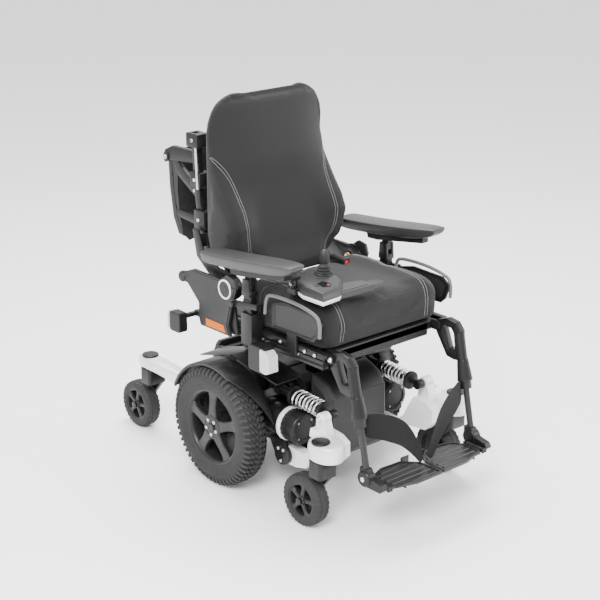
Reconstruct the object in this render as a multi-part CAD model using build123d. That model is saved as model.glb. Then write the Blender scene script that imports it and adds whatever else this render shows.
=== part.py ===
from build123d import *
import math
import os

# Power wheelchair with driven middle wheels and four sprung casters.
# Millimetres, +Z up. The sitter faces -Y and the chair's own right side is -X.
# Parts are drawn about the floor point under the drive axle; save() then moves them along +Y
# by ORIGIN_SHIFT_Y, so that the row's origin is the middle of the chair's footprint.
# Every side part is drawn on the chair's left side (+X) and mirrored for the right.

FOOT_FRONT_Y = -627.0
REAR_EXTENT_Y = 556.0
ORIGIN_SHIFT_Y = -(FOOT_FRONT_Y + REAR_EXTENT_Y) / 2

# Drive wheels
DRIVE_R = 178.0
DRIVE_W = 80.0
DRIVE_OUTER_X = 313.0
DRIVE_INNER_X = DRIVE_OUTER_X - DRIVE_W
DRIVE_RIM_R = 120.0
DRIVE_SHAFT_R = 12.5
RUNNING_GAP = 0.05
BODY_GAP = 0.3

# Casters
CASTER_R = 75.0
CASTER_W = 50.0
CASTER_RIM_R = 50.0
CASTER_TRAIL = 58.0
STEM_R = 10.0
FRONT_CASTER_X = 262.0
FRONT_SWIVEL_Y = -422.0
REAR_CASTER_X = 212.0
REAR_SWIVEL_Y = 423.0
FRONT_HEAD_Z = (212.0, 262.0)
REAR_HEAD_Z = (212.0, 252.0)

# Suspension
FRONT_PIVOT = (-195.0, 130.0)
REAR_PIVOT = (150.0, 205.0)
ARM_PIN_R = 8.0
SHOCK_X = 168.0
SHOCK_TOP = (-150.0, 309.0)
SHOCK_END = (-365.0, 297.0)
SPRING_R = 25.0
SPRING_WIRE_R = 3.2

# Base
FRAME_HALF = 126.0
PLATE_T = 8.0
COVER_HALF = 112.0
FENDER_R = 193.0
FENDER_START = 24.0
FENDER_OUTER_END = 116.0
FENDER_INNER_END = 166.0
DOCK_SPACING = (160.0, 120.0)
DOCK_HOLE_R = 5.25
HEADREST_SPACING = 40.0
HEADREST_HOLE_R = 3.25

# Seat
TILT_PIVOT = (60.0, 415.0)
RAIL_X = (215.0, 235.0)
CUSHION_HALF = 224.0
CUSHION_Y = (-395.0, -50.0)
CUSHION_Z = (500.5, 604.0)
RECLINE_PIVOT = (-12.0, 589.0)
BACK_HALF = 213.0

# Tilt actuator
LIFT_LOW = (-150.0, 290.0)
LIFT_HIGH = (-150.0, 440.0)

# Arm supports
ARMREST_PIVOT = (-128.0, 640.0)
POST_Y = (-145.0, -112.0)

# Leg supports
HANGER_X = 204.0
KNEE_PIVOT = (-412.0, 486.0)
LEG_TOP = (-483.0, 474.0)
LEG_LEAN = 0.206
LEG_TUBE_R = 9.0
SLEEVE_Z = (345.0, 403.0)
COLLAR_LOW_Z = 322.0
FLIP_AXIS = (182.0, 168.0)

# Joystick
STICK = (-113.0, -267.0, 650.0)
PADDLE_AXIS = (-38.0, 645.0)
PADDLE_R = 5.0
CABLE_R = 3.2


def box(x0, x1, y0, y1, z0, z1):
    """Block between two opposite corners."""
    centre = Pos((x0 + x1) / 2, (y0 + y1) / 2, (z0 + z1) / 2)
    return centre * Box(x1 - x0, y1 - y0, z1 - z0)


def rod_x(x0, x1, y, z, r):
    return Pos((x0 + x1) / 2, y, z) * Rot(0, 90, 0) * Cylinder(r, x1 - x0)


def rod_y(x, y0, y1, z, r):
    return Pos(x, (y0 + y1) / 2, z) * Rot(90, 0, 0) * Cylinder(r, y1 - y0)


def rod_z(x, y, z0, z1, r):
    return Pos(x, y, (z0 + z1) / 2) * Cylinder(r, z1 - z0)


def rod_between(start, end, r):
    """Round bar from one point to another."""
    run = Vector(*end) - Vector(*start)
    plane = Plane(origin=start, z_dir=run)
    return extrude(plane * Circle(r), run.length)


def ring_x(x0, x1, y, z, r_out, r_in):
    return rod_x(x0, x1, y, z, r_out) - rod_x(x0 - 1, x1 + 1, y, z, r_in)


def outline(points, corner):
    """Face inside a polygon, with every corner rounded to one radius."""
    face = make_face(Polyline(*points, close=True))
    if corner:
        face = face.face().fillet_2d(corner, face.face().vertices())
    return face


def plate_x(points, x0, x1, corner=0):
    """Solid between x0 and x1 with an outline of (y, z) points."""
    face = outline([(x0, y, z) for y, z in points], corner)
    return extrude(face, x1 - x0, dir=(1, 0, 0))


def plate_y(points, y0, y1, corner=0):
    """Solid between y0 and y1 with an outline of (x, z) points."""
    face = outline([(x, y0, z) for x, z in points], corner)
    return extrude(face, y1 - y0, dir=(0, 1, 0))


def plate_z(points, z0, z1, corner=0):
    """Solid between z0 and z1 with an outline of (x, y) points."""
    face = outline([(x, y, z0) for x, y in points], corner)
    return extrude(face, z1 - z0, dir=(0, 0, 1))


def right(shape):
    """The same shape on the chair's right side."""
    return mirror(shape, about=Plane.YZ)


def save(name, *shapes):
    solids = [solid for shape in shapes for solid in shape.solids()]
    placed = Compound(solids).moved(Location((0, ORIGIN_SHIFT_Y, 0)))
    export_step(placed, os.path.join("parts", name + ".step"))


def save_both(name, *shapes):
    """A left node and its mirrored right node."""
    save("left_" + name, *shapes)
    save("right_" + name, *[right(shape) for shape in shapes])


def save_group(name, *shapes):
    """One node with a left and a right copy of each shape."""
    save(name, *shapes, *[right(shape) for shape in shapes])


def cap_screw_x(x0, x1, y, z, r):
    """Screw head with a socket in its outer face."""
    head = rod_x(x0, x1, y, z, r)
    return head - rod_x(x1 - (x1 - x0) * 0.6, x1 + 1, y, z, r * 0.5)


# ---- base ---------------------------------------------------------------------------------

SIDE_PLATE = [(-205, 150), (-205, 318), (-150, 345), (-20, 352), (20, 352), (80, 338), (190, 330),
              (200, 300), (200, 130), (170, 106), (-160, 106)]


def side_plate():
    plate = plate_x(SIDE_PLATE, FRAME_HALF - PLATE_T, FRAME_HALF, 10)
    window = plate_x([(-90, 230), (-90, 300), (-30, 310), (-30, 230)], 110, 130, 8)
    return plate - window


def tray():
    """Floor of the battery bay with the four docking holes."""
    half = FRAME_HALF - PLATE_T
    floor = box(-half, half, -190, 190, 106, 112)
    for x in (-DOCK_SPACING[0] / 2, DOCK_SPACING[0] / 2):
        for y in (-DOCK_SPACING[1] / 2, DOCK_SPACING[1] / 2):
            floor -= rod_z(x, y, 100, 120, DOCK_HOLE_R)
    return floor


def cross_bars():
    half = FRAME_HALF - PLATE_T
    rear = box(-half, half, 174, 198, 120, 320)
    return [rear]


def tilt_lug():
    """Upright lug that carries the seat's tilt pin."""
    y, z = TILT_PIVOT
    lug = plate_x([(y - 34, 330), (y - 20, z + 18), (y + 20, z + 18), (y + 34, 330)], 100, 112, 8)
    foot = box(100, FRAME_HALF - PLATE_T, y - 34, y + 34, 316, 336)
    return lug + foot - rod_x(90, 120, y, z, ARM_PIN_R + RUNNING_GAP)


def lift_bracket():
    """Clevis on a cross beam for the foot of the tilt actuator."""
    half = FRAME_HALF - PLATE_T
    y, z = LIFT_LOW
    beam = box(-half, half, y - 34, y - 23, z - 20, z + 24)
    ears = box(-34, -26, y - 23, y + 14, z - 14, z + 14) + box(26, 34, y - 23, y + 14, z - 14, z + 14)
    pin = rod_x(-34, 34, y, z, 6)
    return beam + ears + pin


def deck():
    """Shelf between the frame and the fender."""
    top = [(-196, 350), (3, 381), (150, 340), (150, 336), (3, 377), (-196, 346)]
    return plate_x(top, FRAME_HALF + 1, 224.5) + box(FRAME_HALF, FRAME_HALF + 6, -20, 20, 340, 378)


def battery(y0, y1):
    case = box(-107, 107, y0, y1, 114, 262)
    case = fillet(case.edges().filter_by(Axis.Z), 6)
    lid = box(-104, 104, y0 + 3, y1 - 3, 262, 272)
    posts = rod_z(-80, (y0 + y1) / 2, 272, 282, 8) + rod_z(80, (y0 + y1) / 2, 272, 282, 8)
    return case + lid + posts


def front_cover():
    outer = [(-206, 112), (-206, 352), (-226, 350), (-270, 332), (-296, 300), (-296, 128), (-286, 112)]
    inner = [(-204, 116), (-204, 346), (-224, 345), (-266, 328), (-292, 298), (-292, 130), (-283, 116)]
    shell = plate_x(outer, -COVER_HALF, COVER_HALF)
    upright = shell.edges().filter_by(Axis.Z).group_by(Axis.Y)[0]
    shell = chamfer(upright, 12)
    return shell - plate_x(inner, -COVER_HALF + 6, COVER_HALF - 6)


def rear_cover():
    outer = [(204, 128), (204, 336), (222, 334), (240, 300), (240, 160), (228, 134)]
    inner = [(202, 132), (202, 331), (219, 330), (236, 299), (236, 161), (226, 138)]
    shell = plate_x(outer, -COVER_HALF, COVER_HALF)
    return shell - plate_x(inner, -COVER_HALF + 4, COVER_HALF - 4)


def fender_point(x, radius, degrees):
    """Point on a circle about the drive axle, degrees up from the rear."""
    turn = math.radians(degrees)
    return (x, radius * math.cos(turn), DRIVE_R + radius * math.sin(turn))


def fender_band(inner_r, x0, x1, end):
    """Arc-shaped band over the drive tyre, from behind it round to an end angle."""
    start = FENDER_START
    middle = (start + end) / 2
    outer = ThreePointArc(*[fender_point(x0, FENDER_R, turn) for turn in (start, middle, end)])
    inner = ThreePointArc(*[fender_point(x0, inner_r, turn) for turn in (start, middle, end)])
    heel = Line(inner @ 0, outer @ 0)
    nose = Line(outer @ 1, inner @ 1)
    return extrude(make_face([outer, nose, inner, heel]), x1 - x0, dir=(1, 0, 0))


def fender():
    """Guard over the drive tyre: its front edge runs from high outside to low inside."""
    band = fender_band(FENDER_R - 4.5, 226, 306, FENDER_INNER_END)
    lip = fender_band(FENDER_R - 9, 301, 306, FENDER_OUTER_END)
    high = Vector(*fender_point(306, FENDER_R, FENDER_OUTER_END))
    low = Vector(*fender_point(226, FENDER_R, FENDER_INNER_END))
    middle_turn = (FENDER_OUTER_END + FENDER_INNER_END) / 2
    radial = Vector(0, *fender_point(0, 1, middle_turn)[1:]) - Vector(0, 0, DRIVE_R)
    cut = Plane(origin=(high + low) / 2, x_dir=low - high, z_dir=(low - high).cross(radial))
    band = split(band, bisect_by=cut, keep=Keep.BOTH)
    rear = max(band.solids(), key=lambda solid: solid.center().Y)
    tab = box(224.5, 232, -18, 18, 368, 378)
    return rear + lip + tab


# ---- drive --------------------------------------------------------------------------------

def drive_tyre():
    tyre = ring_x(DRIVE_INNER_X, DRIVE_OUTER_X, 0, DRIVE_R, DRIVE_R, DRIVE_RIM_R)
    shoulders = tyre.edges().filter_by(GeomType.CIRCLE).sort_by(SortBy.RADIUS)[-2:]
    return fillet(shoulders, 20)


def spokes(x0, x1, z_axis, y_axis, r0, r1, width):
    """Five radial spokes about an axis along X."""
    arms = []
    for index in range(5):
        arm = box(x0, x1, -width / 2, width / 2, r0, r1)
        arms.append(Pos(0, y_axis, z_axis) * Rot(72 * index, 0, 0) * arm)
    return arms


def drive_rim():
    rim = ring_x(243, 303, 0, DRIVE_R, DRIVE_RIM_R, 111)
    rim += rod_x(238, 303, 0, DRIVE_R, 36)
    for arm in spokes(284, 299, DRIVE_R, 0, 30, 114, 34):
        rim += arm
    return rim - rod_x(230, 282, 0, DRIVE_R, DRIVE_SHAFT_R)


def drive_shaft():
    return rod_x(160, 282, 0, DRIVE_R, DRIVE_SHAFT_R)


def wheel_bolts():
    bolts = []
    for index in range(5):
        turn = math.radians(36 + 72 * index)
        y, z = 23 * math.sin(turn), DRIVE_R + 23 * math.cos(turn)
        bolts.append(cap_screw_x(303, 308, y, z, 5))
    return bolts


def gearbox():
    body = [(-108, 176), (-108, 266), (-58, 270), (8, 236), (44, 200), (44, 156), (8, 130), (-60, 134)]
    case = plate_x(body, FRAME_HALF, 224, 12)
    return case - rod_x(158, 230, 0, DRIVE_R, DRIVE_SHAFT_R + RUNNING_GAP)


def motor():
    flange = rod_y(178, -126, -108, 222, 47)
    can = rod_y(178, -204, -126, 222, 43)
    return [flange, can]


def motor_cap():
    cap = rod_y(178, -262, -204, 222, 46)
    return fillet(cap.edges().sort_by(Axis.Y)[0], 8)


# ---- casters ------------------------------------------------------------------------------

def caster_wheel(x, y):
    half = CASTER_W / 2
    tyre = ring_x(x - half, x + half, y, CASTER_R, CASTER_R, CASTER_RIM_R)
    tyre = fillet(tyre.edges().filter_by(GeomType.CIRCLE).sort_by(SortBy.RADIUS)[-2:], 14)
    rim = ring_x(x - 20, x + 20, y, CASTER_R, CASTER_RIM_R, 44)
    rim += rod_x(x - half + 0.5, x + half - 0.5, y, CASTER_R, 14)
    for arm in spokes(x + 6, x + 18, CASTER_R, y, 10, 46, 15):
        rim += arm
    return [tyre, rim - rod_x(x - 40, x + 40, y, CASTER_R, 6 + RUNNING_GAP)]


def caster_fork(x, swivel_y, head):
    """Crown, single leg on the inner side, stem, dust cap and axle."""
    wheel_y = swivel_y + CASTER_TRAIL
    leg_out = x - CASTER_W / 2 - 4
    leg_in = leg_out - 12
    crown_top = head[0] - 1
    crown = box(leg_in, x + 24, swivel_y - 25, swivel_y + 27, 162, crown_top)
    crown = fillet(crown.edges().filter_by(Axis.Z), 11)
    back, low = swivel_y - 25, CASTER_R
    leg = [(back + 10, crown_top), (swivel_y + 27, crown_top), (wheel_y + 18, low + 22),
           (wheel_y + 18, low - 17), (wheel_y - 18, low - 17), (wheel_y - 24, low + 30), (back + 10, 162)]
    fork = crown + plate_x(leg, leg_in, leg_out, 5)
    fork += rod_z(x, swivel_y, crown_top - 1, head[1] + BODY_GAP, STEM_R)
    axle = rod_x(leg_out, x + CASTER_W / 2 + BODY_GAP, wheel_y, CASTER_R, 6)
    nut = rod_x(x + CASTER_W / 2 + BODY_GAP, x + CASTER_W / 2 + 5, wheel_y, CASTER_R, 10)
    cap = rod_z(x, swivel_y, head[1] + BODY_GAP, head[1] + 6, 26)
    cap = fillet(cap.edges().sort_by(Axis.Z)[-1], 3)
    return [fork, axle + nut, cap]


# ---- suspension ---------------------------------------------------------------------------

def front_arm():
    """Silver swing arm: low link, caster head and the neck that meets the shock."""
    y0, z0 = FRONT_PIVOT
    link = plate_x([(-170, 148), (-172, 108), (-196, 100), (-240, 101), (-284, 113), (-316, 158),
                    (-400, 166), (-436, 196), (-436, 238), (-404, 262), (-352, 262), (-334, 226),
                    (-312, 184), (-268, 154), (-215, 157)], 160, 192, 7)
    head = plate_z([(188, -358), (272, -368), (296, -400), (294, -450), (270, -486), (242, -490),
                    (206, -462), (188, -420)], FRONT_HEAD_Z[0], FRONT_HEAD_Z[1], 9)
    neck = plate_x([(-346, 258), (-350, 306), (-362, 317), (-378, 314), (-394, 258)], 185, 214, 6)
    brace = plate_x([(-352, 256), (-352, 280), (-380, 280), (-398, 256)], 190, 240, 5)
    arm = link + head + neck + brace
    arm -= rod_x(150, 200, y0, z0, ARM_PIN_R + RUNNING_GAP)
    arm -= rod_z(FRONT_CASTER_X, FRONT_SWIVEL_Y, 180, 280, STEM_R + RUNNING_GAP)
    bolt_y, bolt_z = SHOCK_END
    arm -= rod_x(180, 220, bolt_y, bolt_z, 6)
    bolt = rod_x(152, 214, bolt_y, bolt_z, 6) + rod_x(148, 152, bolt_y, bolt_z, 9.5)
    return [arm, bolt]


def rear_arm():
    y0, z0 = REAR_PIVOT
    x0, x1 = 182, 226
    beam = plate_x([(126, 186), (128, 226), (150, 234), (200, 238), (262, 244), (330, 252), (392, 252),
                    (392, 214), (364, 214), (340, 205), (284, 190), (200, 172), (150, 172)], x0, x1, 10)
    head = plate_z([(174, 366), (250, 366), (262, 400), (258, 448), (236, 474), (190, 474), (166, 448),
                    (164, 400)], REAR_HEAD_Z[0], REAR_HEAD_Z[1], 9)
    arm = beam + head
    arm -= rod_x(170, 240, y0, z0, ARM_PIN_R + RUNNING_GAP)
    arm -= rod_z(REAR_CASTER_X, REAR_SWIVEL_Y, 180, 280, STEM_R + RUNNING_GAP)
    return arm


def front_arm_bracket():
    """Pivot plates, pin and screws that hold the front arm to the frame."""
    y0, z0 = FRONT_PIVOT
    spacer = rod_x(FRAME_HALF, 158, y0, z0, 26)
    outer = rod_x(194, 206, y0, z0, 31)
    bar = box(FRAME_HALF, 206, -170, -146, 160, 174)
    pin = rod_x(150, 200, y0, z0, ARM_PIN_R)
    plates = spacer + outer + pin + bar
    plates += plate_x([(-222, 130), (-204, 174), (-146, 174), (-146, 160), (-168, 124)], 194, 206, 3)
    screws = []
    for y, z in ((-206, 148), (-184, 148), (-195, 112)):
        screws.append(cap_screw_x(206, 210, y, z, 5))
    return [plates] + screws


def rear_arm_bracket():
    y0, z0 = REAR_PIVOT
    spacer = rod_x(FRAME_HALF, 181, y0, z0, 24)
    pin = rod_x(176, 228, y0, z0, ARM_PIN_R)
    return spacer + pin


def shock_mount():
    y0, z0 = SHOCK_TOP
    ear = plate_x([(y0 - 20, 318), (y0 - 14, z0 + 18), (y0 + 16, z0 + 18), (y0 + 22, 290), (y0 - 20, 286)],
                  FRAME_HALF, 152, 4)
    pin = rod_x(150, 186, y0, z0, 6)
    washer = rod_x(183, 187, y0, z0, 10)
    return ear + pin + washer


def tie_down():
    """Loop for a transport strap, behind the drive wheel."""
    loop = plate_x([(188, 246), (246, 246), (246, 232), (236, 158), (222, 138), (204, 138), (192, 158)],
                   230, 238, 5)
    gap = plate_x([(204, 232), (231, 232), (224, 172), (206, 172)], 225, 245, 5)
    bar = box(FRAME_HALF, 238, 204, 222, 138, 152)
    return loop - gap + bar


def shock_axis():
    """Unit direction of the shock and its full length."""
    dy, dz = SHOCK_END[0] - SHOCK_TOP[0], SHOCK_END[1] - SHOCK_TOP[1]
    length = math.hypot(dy, dz)
    return (dy / length, dz / length), length


def along_shock(s):
    (uy, uz), length = shock_axis()
    return (SHOCK_X, SHOCK_TOP[0] + uy * s, SHOCK_TOP[1] + uz * s)


def shock_body():
    y0, z0 = SHOCK_TOP
    body = rod_x(156, 180, y0, z0, 15) + rod_between(along_shock(8), along_shock(122), 14)
    body += rod_between(along_shock(56), along_shock(64), SPRING_R + 2)
    body -= rod_x(150, 190, y0, z0, 6 + RUNNING_GAP)
    return body - rod_between(along_shock(52), along_shock(130), 7 + RUNNING_GAP)


def shock_rod():
    y1, z1 = SHOCK_END
    length = shock_axis()[1]
    rod = rod_between(along_shock(100), along_shock(length - 8), 7)
    rod += rod_between(along_shock(178), along_shock(186), SPRING_R + 2)
    rod += rod_x(157, 179, y1, z1, 14)
    return rod - rod_x(150, 190, y1, z1, 7.5)


def shock_spring():
    """Round wire wound between the two collars."""
    start, end = 64.5 + SPRING_WIRE_R, 177.5 - SPRING_WIRE_R
    turns = 6.5
    radius = SPRING_R - SPRING_WIRE_R
    coil = Helix(pitch=(end - start) / turns, height=end - start, radius=radius)
    wire = sweep(Plane(origin=coil @ 0, z_dir=coil % 0) * Circle(SPRING_WIRE_R), path=coil)
    (uy, uz), length = shock_axis()
    seat = Plane(origin=along_shock(start), x_dir=(1, 0, 0), z_dir=(0, uy, uz))
    return seat.location * wire


# ---- tilt actuator ------------------------------------------------------------------------

def lift_body():
    y, z = LIFT_LOW
    barrel = rod_z(0, y, z + 8, z + 118, 19)
    eye = rod_x(-25, 25, y, z, 13)
    gearcase = box(-25, 25, y + 16, y + 58, z + 20, z + 66)
    body = barrel + eye + gearcase - rod_x(-40, 40, y, z, 6 + RUNNING_GAP)
    return body - rod_z(0, y, z + 20, z + 130, 10 + RUNNING_GAP)


def lift_rod():
    y, z = LIFT_HIGH
    rod = rod_z(0, y, LIFT_LOW[1] + 24, z - 8, 10) + rod_x(-14, 14, y, z, 16)
    return rod - rod_x(-20, 20, y, z, 10.5)


# ---- seat ---------------------------------------------------------------------------------

def rails():
    low = box(RAIL_X[0], RAIL_X[1], -398, 128, 456, 480)
    high = box(RAIL_X[0], RAIL_X[1], -404, 110, 484, 499)
    web = box(RAIL_X[0] + 6, RAIL_X[1] - 6, -390, 105, 480, 484)
    groove = box(RAIL_X[1] - 3, RAIL_X[1] + 1, -405, 130, 465, 471)
    return low - groove + high + web


def rail_bolts():
    bolts = []
    for y in (-370, -330, -230, -90, 20, 90):
        bolts.append(cap_screw_x(RAIL_X[1], RAIL_X[1] + 4, y, 491, 4.5))
    return bolts


def seat_cross():
    """Cross members, seat pan and the lugs of the tilt pivot and the actuator."""
    y, z = TILT_PIVOT
    front = box(-185, 185, -395, -352, 470, 499)
    front = fillet(front.edges().filter_by(Axis.X), 6)
    rear = box(-RAIL_X[0], RAIL_X[0], 88, 112, 460, 484)
    middle = box(-RAIL_X[0], RAIL_X[0], y - 30, y + 26, 458, 472)
    pan = box(-205, 205, -352, 80, 493, 499)
    ribs = box(-205, 205, -160, -140, 472, 493) + box(-205, 205, y - 20, y, 472, 493)
    stretcher = box(-RAIL_X[0], RAIL_X[0], -352, -330, 474, 494)
    frame = front + rear + middle + pan + ribs + stretcher
    for side in (-1, 1):
        lug = plate_x([(y - 16, z - 14), (y - 22, 459), (y + 22, 459), (y + 16, z - 14)], 114, 124, 6)
        pin = rod_x(98, 124, y, z, ARM_PIN_R)
        piece = lug + pin
        frame += piece if side > 0 else right(piece)
    y1, z1 = LIFT_HIGH
    clevis = box(-26, -18, y1 - 14, y1 + 14, z1 - 12, 473) + box(18, 26, y1 - 14, y1 + 14, z1 - 12, 473)
    frame += clevis + rod_x(-26, 26, y1, z1, 6)
    return frame


def hanger_clevis():
    """Two ears and a pin at the knee, joined to the front bar by a square tube."""
    y, z = KNEE_PIVOT
    ear = [(-360, 474), (-360, 498), (y + 8, 499), (y - 10, z + 10), (y - 12, z - 8), (y + 4, 472)]
    inner = plate_x(ear, 184, 192.5, 4)
    outer = plate_x(ear, RAIL_X[0], 222, 4)
    pin = rod_x(184, 222, y, z, 6)
    return inner + outer + pin


def seat_upright():
    """Plate that carries the backrest pivot on each side."""
    y, z = RECLINE_PIVOT
    plate = plate_x([(-50, 456), (-30, z + 26), (-12, z + 34), (16, z + 24), (112, 520), (116, 456)],
                    236, 243, 8)
    pin = rod_x(214, 240, y, z, 14)
    disc = rod_x(226.5, 236, y, z, 36)
    return plate + pin + disc


def post_socket():
    y0, y1 = POST_Y
    shell = box(RAIL_X[1], 275, y0 - 6, y1 + 6, 462, 552)
    hole = box(250 - BODY_GAP, 270 + BODY_GAP, y0 - BODY_GAP, y1 + BODY_GAP, 455, 560)
    return shell - hole


def seat_cushion():
    y0, y1 = CUSHION_Y
    z0, z1 = CUSHION_Z
    pad = box(-CUSHION_HALF, CUSHION_HALF, y0, y1, z0, z1)
    pad = fillet(pad.edges().filter_by(Axis.Z), 40)
    front_top = pad.edges().group_by(Axis.Z)[-1]
    return fillet(front_top, 26)


SIDE_COVER = [(201, 589), (162, 602), (132, 614), (10, 613), (-20, 634), (-52, 628), (-62, 600),
              (-42, 552), (-22, 482), (-32, 452), (105, 451), (113, 474), (112, 518), (163, 564), (198, 567)]


def side_cover():
    y, z = RECLINE_PIVOT
    plate = plate_x(SIDE_COVER, 246, 256, 7)
    ring = ring_x(256, 259, y, z, 28.5, 23)
    reflector = plate_x([(76, 480), (-4, 480), (-14, 460), (76, 458)], 256, 258.5, 2)
    knob = rod_x(243.5, 258, 188, 578, 16)
    return [plate, ring, reflector, knob]


def side_guard():
    """Flat clothing guard with a loop bar round its top."""
    panel = plate_x([(-202, 530), (-202, 598), (-260, 612), (-376, 608), (-404, 588), (-392, 548),
                     (-330, 530)], 238.5, 244, 8)
    foot = box(235, 244, -300, -262, 470, 540)
    loop_path = [(249, -178, 560), (249, -190, 616), (249, -300, 620), (249, -396, 598), (249, -400, 548)]
    bar = FilletPolyline(*loop_path, radius=14)
    wire = sweep(Plane(origin=loop_path[0], z_dir=bar % 0) * Circle(5), path=bar)
    return [panel + foot, wire]


def front_lamp_housing():
    shell = plate_x([(-168, 414), (-168, 488), (-228, 490), (-258, 474), (-262, 420), (-240, 412)],
                    266, 310, 8)
    hollow = plate_x([(-190, 422), (-190, 480), (-226, 482), (-270, 474), (-270, 424)], 272, 304)
    arm = box(235, 268, -200, -178, 462, 476)
    return shell - hollow + arm


def front_lamp_lens():
    lens = plate_x([(-251, 426), (-249, 472), (-255, 471), (-259, 426)], 272.4, 303.6)
    reflector = box(274, 302, -240, -236, 430, 470)
    return [lens, reflector]


def rear_lamp_housing():
    shell = box(262, 300, 138, 212, 417, 484)
    shell = fillet(shell.edges().filter_by(Axis.X), 10)
    shell -= box(266, 296, 196, 220, 423, 478)
    arm = box(232, 262, 150, 166, 462, 474) + box(217, 233, 128, 166, 458, 476)
    return shell + arm


def rear_lamp_lens():
    return box(266.4, 295.6, 206, 212, 423.4, 477.6)


def seat_belt():
    """Two lengths of webbing that lie on the seat from its rear corners."""
    left = box(150, 198, -62.5, -59.5, 604.6, 607) + box(118, 198, -112, -62.5, 604.6, 607)
    rt = box(-198, -120, -112, -62.5, 604.6, 607)
    return [left, rt]


def buckle():
    shell = box(92, 118, -124, -62, 607.3, 629)
    shell = fillet(shell.edges().filter_by(Axis.Z), 5)
    slot = box(98, 112, -130, -104, 611, 625)
    return shell - slot


def buckle_button():
    return box(98.4, 111.6, -124, -108, 611.4, 624.6)


# ---- back ---------------------------------------------------------------------------------

def back_cushion():
    """Padded back with side bolsters."""
    pad = plate_x([(-36, 606), (88, 1108), (100, 1114), (112, 1100), (116, 1000), (116, 660), (70, 606)],
                  -BACK_HALF, BACK_HALF, 5)
    bolster = plate_x([(26, 640), (-4, 700), (-9, 745), (8, 790), (36, 830), (66, 872), (92, 912),
                       (114, 980), (114, 640)], 168, BACK_HALF, 4)
    front = [(-186, 600), (-BACK_HALF, 660), (-BACK_HALF, 990), (-198, 1060), (-172, 1100), (-130, 1118),
             (130, 1118), (172, 1100), (198, 1060), (BACK_HALF, 990), (BACK_HALF, 660), (186, 600)]
    body = pad + bolster + right(bolster)
    return body & plate_y(front, -60, 160, 12)


def back_shell():
    """Hard shell behind the cushion."""
    wall = plate_x([(117, 660), (117, 1000), (113.5, 1086), (119, 1086), (125, 1000), (125, 655)], -206, 206)
    front = [(-176, 640), (-206, 700), (-206, 980), (-180, 1070), (-130, 1090), (130, 1090), (180, 1070),
             (206, 980), (206, 700), (176, 640)]
    return wall & plate_y(front, 100, 140, 10)


def back_side_plate():
    """Arm from the recline pivot up to the cane."""
    y, z = RECLINE_PIVOT
    plate = plate_x([(-34, 572), (-34, 606), (-12, 622), (60, 628), (128, 660), (150, 720), (178, 720),
                     (160, 640), (96, 592), (10, 560), (-14, 556)], 217, 222, 5)
    disc = rod_x(217, 226, y, z, 33)
    return plate + disc - rod_x(200, 240, y, z, 14 + RUNNING_GAP)


def cane():
    bar = plate_x([(140, 640), (128, 668), (152, 712), (170, 800), (184, 992), (208, 992), (194, 800),
                   (178, 712), (162, 650)], 178, 197, 3)
    link = box(190, 219, 146, 166, 668, 700)
    return bar + link


def back_blocks():
    """Clamps of the shear slide with its chrome rod."""
    top = box(168, 208, 164, 216, 952, 992)
    middle = box(168, 206, 158, 204, 836, 880)
    low = box(168, 206, 142, 190, 712, 770)
    rod = rod_between((204, 170, 830), (202, 180, 960), 4)
    return [fillet(block.edges().filter_by(Axis.X), 4) for block in (top, middle, low)], rod


def shear_bracket():
    """Post between the shell and the cane."""
    return box(120, 166, 125, 166, 780, 820) + box(120, 166, 124, 170, 905, 935)


def back_cross():
    upper = box(-178, 178, 176, 188, 962, 984)
    lower = box(-178, 178, 150, 162, 716, 738)
    for x in (-HEADREST_SPACING / 2, HEADREST_SPACING / 2):
        upper -= rod_y(x, 170, 195, 973, HEADREST_HOLE_R)
    return upper + lower


def module_arm():
    """Pivoted arm, strut and lower link that hold the rear cover."""
    top = plate_x([(186, 936), (196, 902), (316, 890), (344, 878), (352, 898), (340, 918), (306, 934)],
                  178, 192, 4)
    strut = plate_x([(196, 800), (196, 838), (262, 876), (302, 912), (318, 896), (284, 852)], 179, 191, 5)
    link = plate_x([(168, 716), (168, 742), (290, 748), (290, 726)], 179, 191, 5)
    pin = rod_x(176, 196, 334, 898, 12)
    return top + strut + link + pin


def rear_module():
    """Tall bowed cover on the back of the seat."""
    outer = [(306, 924), (346, 916), (356, 880), (352, 800), (338, 712), (310, 662), (284, 656), (276, 668)]
    shell = plate_x(outer, -176, 176)
    shell = shell - plate_x([(300, 916), (340, 908), (350, 880), (346, 800), (333, 714), (306, 668),
                             (270, 664)], -171, 171)
    return shell


# ---- arm supports -------------------------------------------------------------------------

def arm_post():
    """Height post with the clevis that the arm pad tilts in."""
    y0, y1 = POST_Y
    post = box(250, 270, y0, y1, 474, 616)
    pivot_y, pivot_z = ARMREST_PIVOT
    ear = [(pivot_y - 17, 602), (pivot_y - 14, pivot_z + 12), (pivot_y + 14, pivot_z + 12),
           (pivot_y + 17, 602)]
    near = plate_x(ear, 246, 253.7, 5)
    far = plate_x(ear, 268.3, 276, 5)
    bridge = box(246, 276, pivot_y - 17, pivot_y + 17, 602, 617)
    pin = rod_x(246, 276, pivot_y, pivot_z, 6)
    brace = plate_x([(-176, 574), (-176, 590), (-64, 578), (-64, 560)], 271, 277, 5)
    knob = rod_x(277, 286, -76, 569, 8)
    stub = box(270, 272, y0, y1, 560, 590)
    return post + near + far + bridge + pin + brace + knob + stub


def cable_socket():
    return box(-250, -238, -158, -146, 560, 580) + box(-250, -244, -146, -140, 560, 580)


def armrest_pad():
    side = [(44, 662), (46, 690), (36, 699), (-120, 715), (-290, 736), (-322, 735), (-334, 728), (-300, 700),
            (-120, 676), (30, 660)]
    plan = [(226, 30), (232, 46), (290, 46), (300, 34), (302, -250), (296, -312), (284, -328), (246, -320),
            (228, -270), (222, -200)]
    pad = plate_x(side, 215, 310, 4)
    return pad & plate_z(plan, 640, 760, 5)


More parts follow.
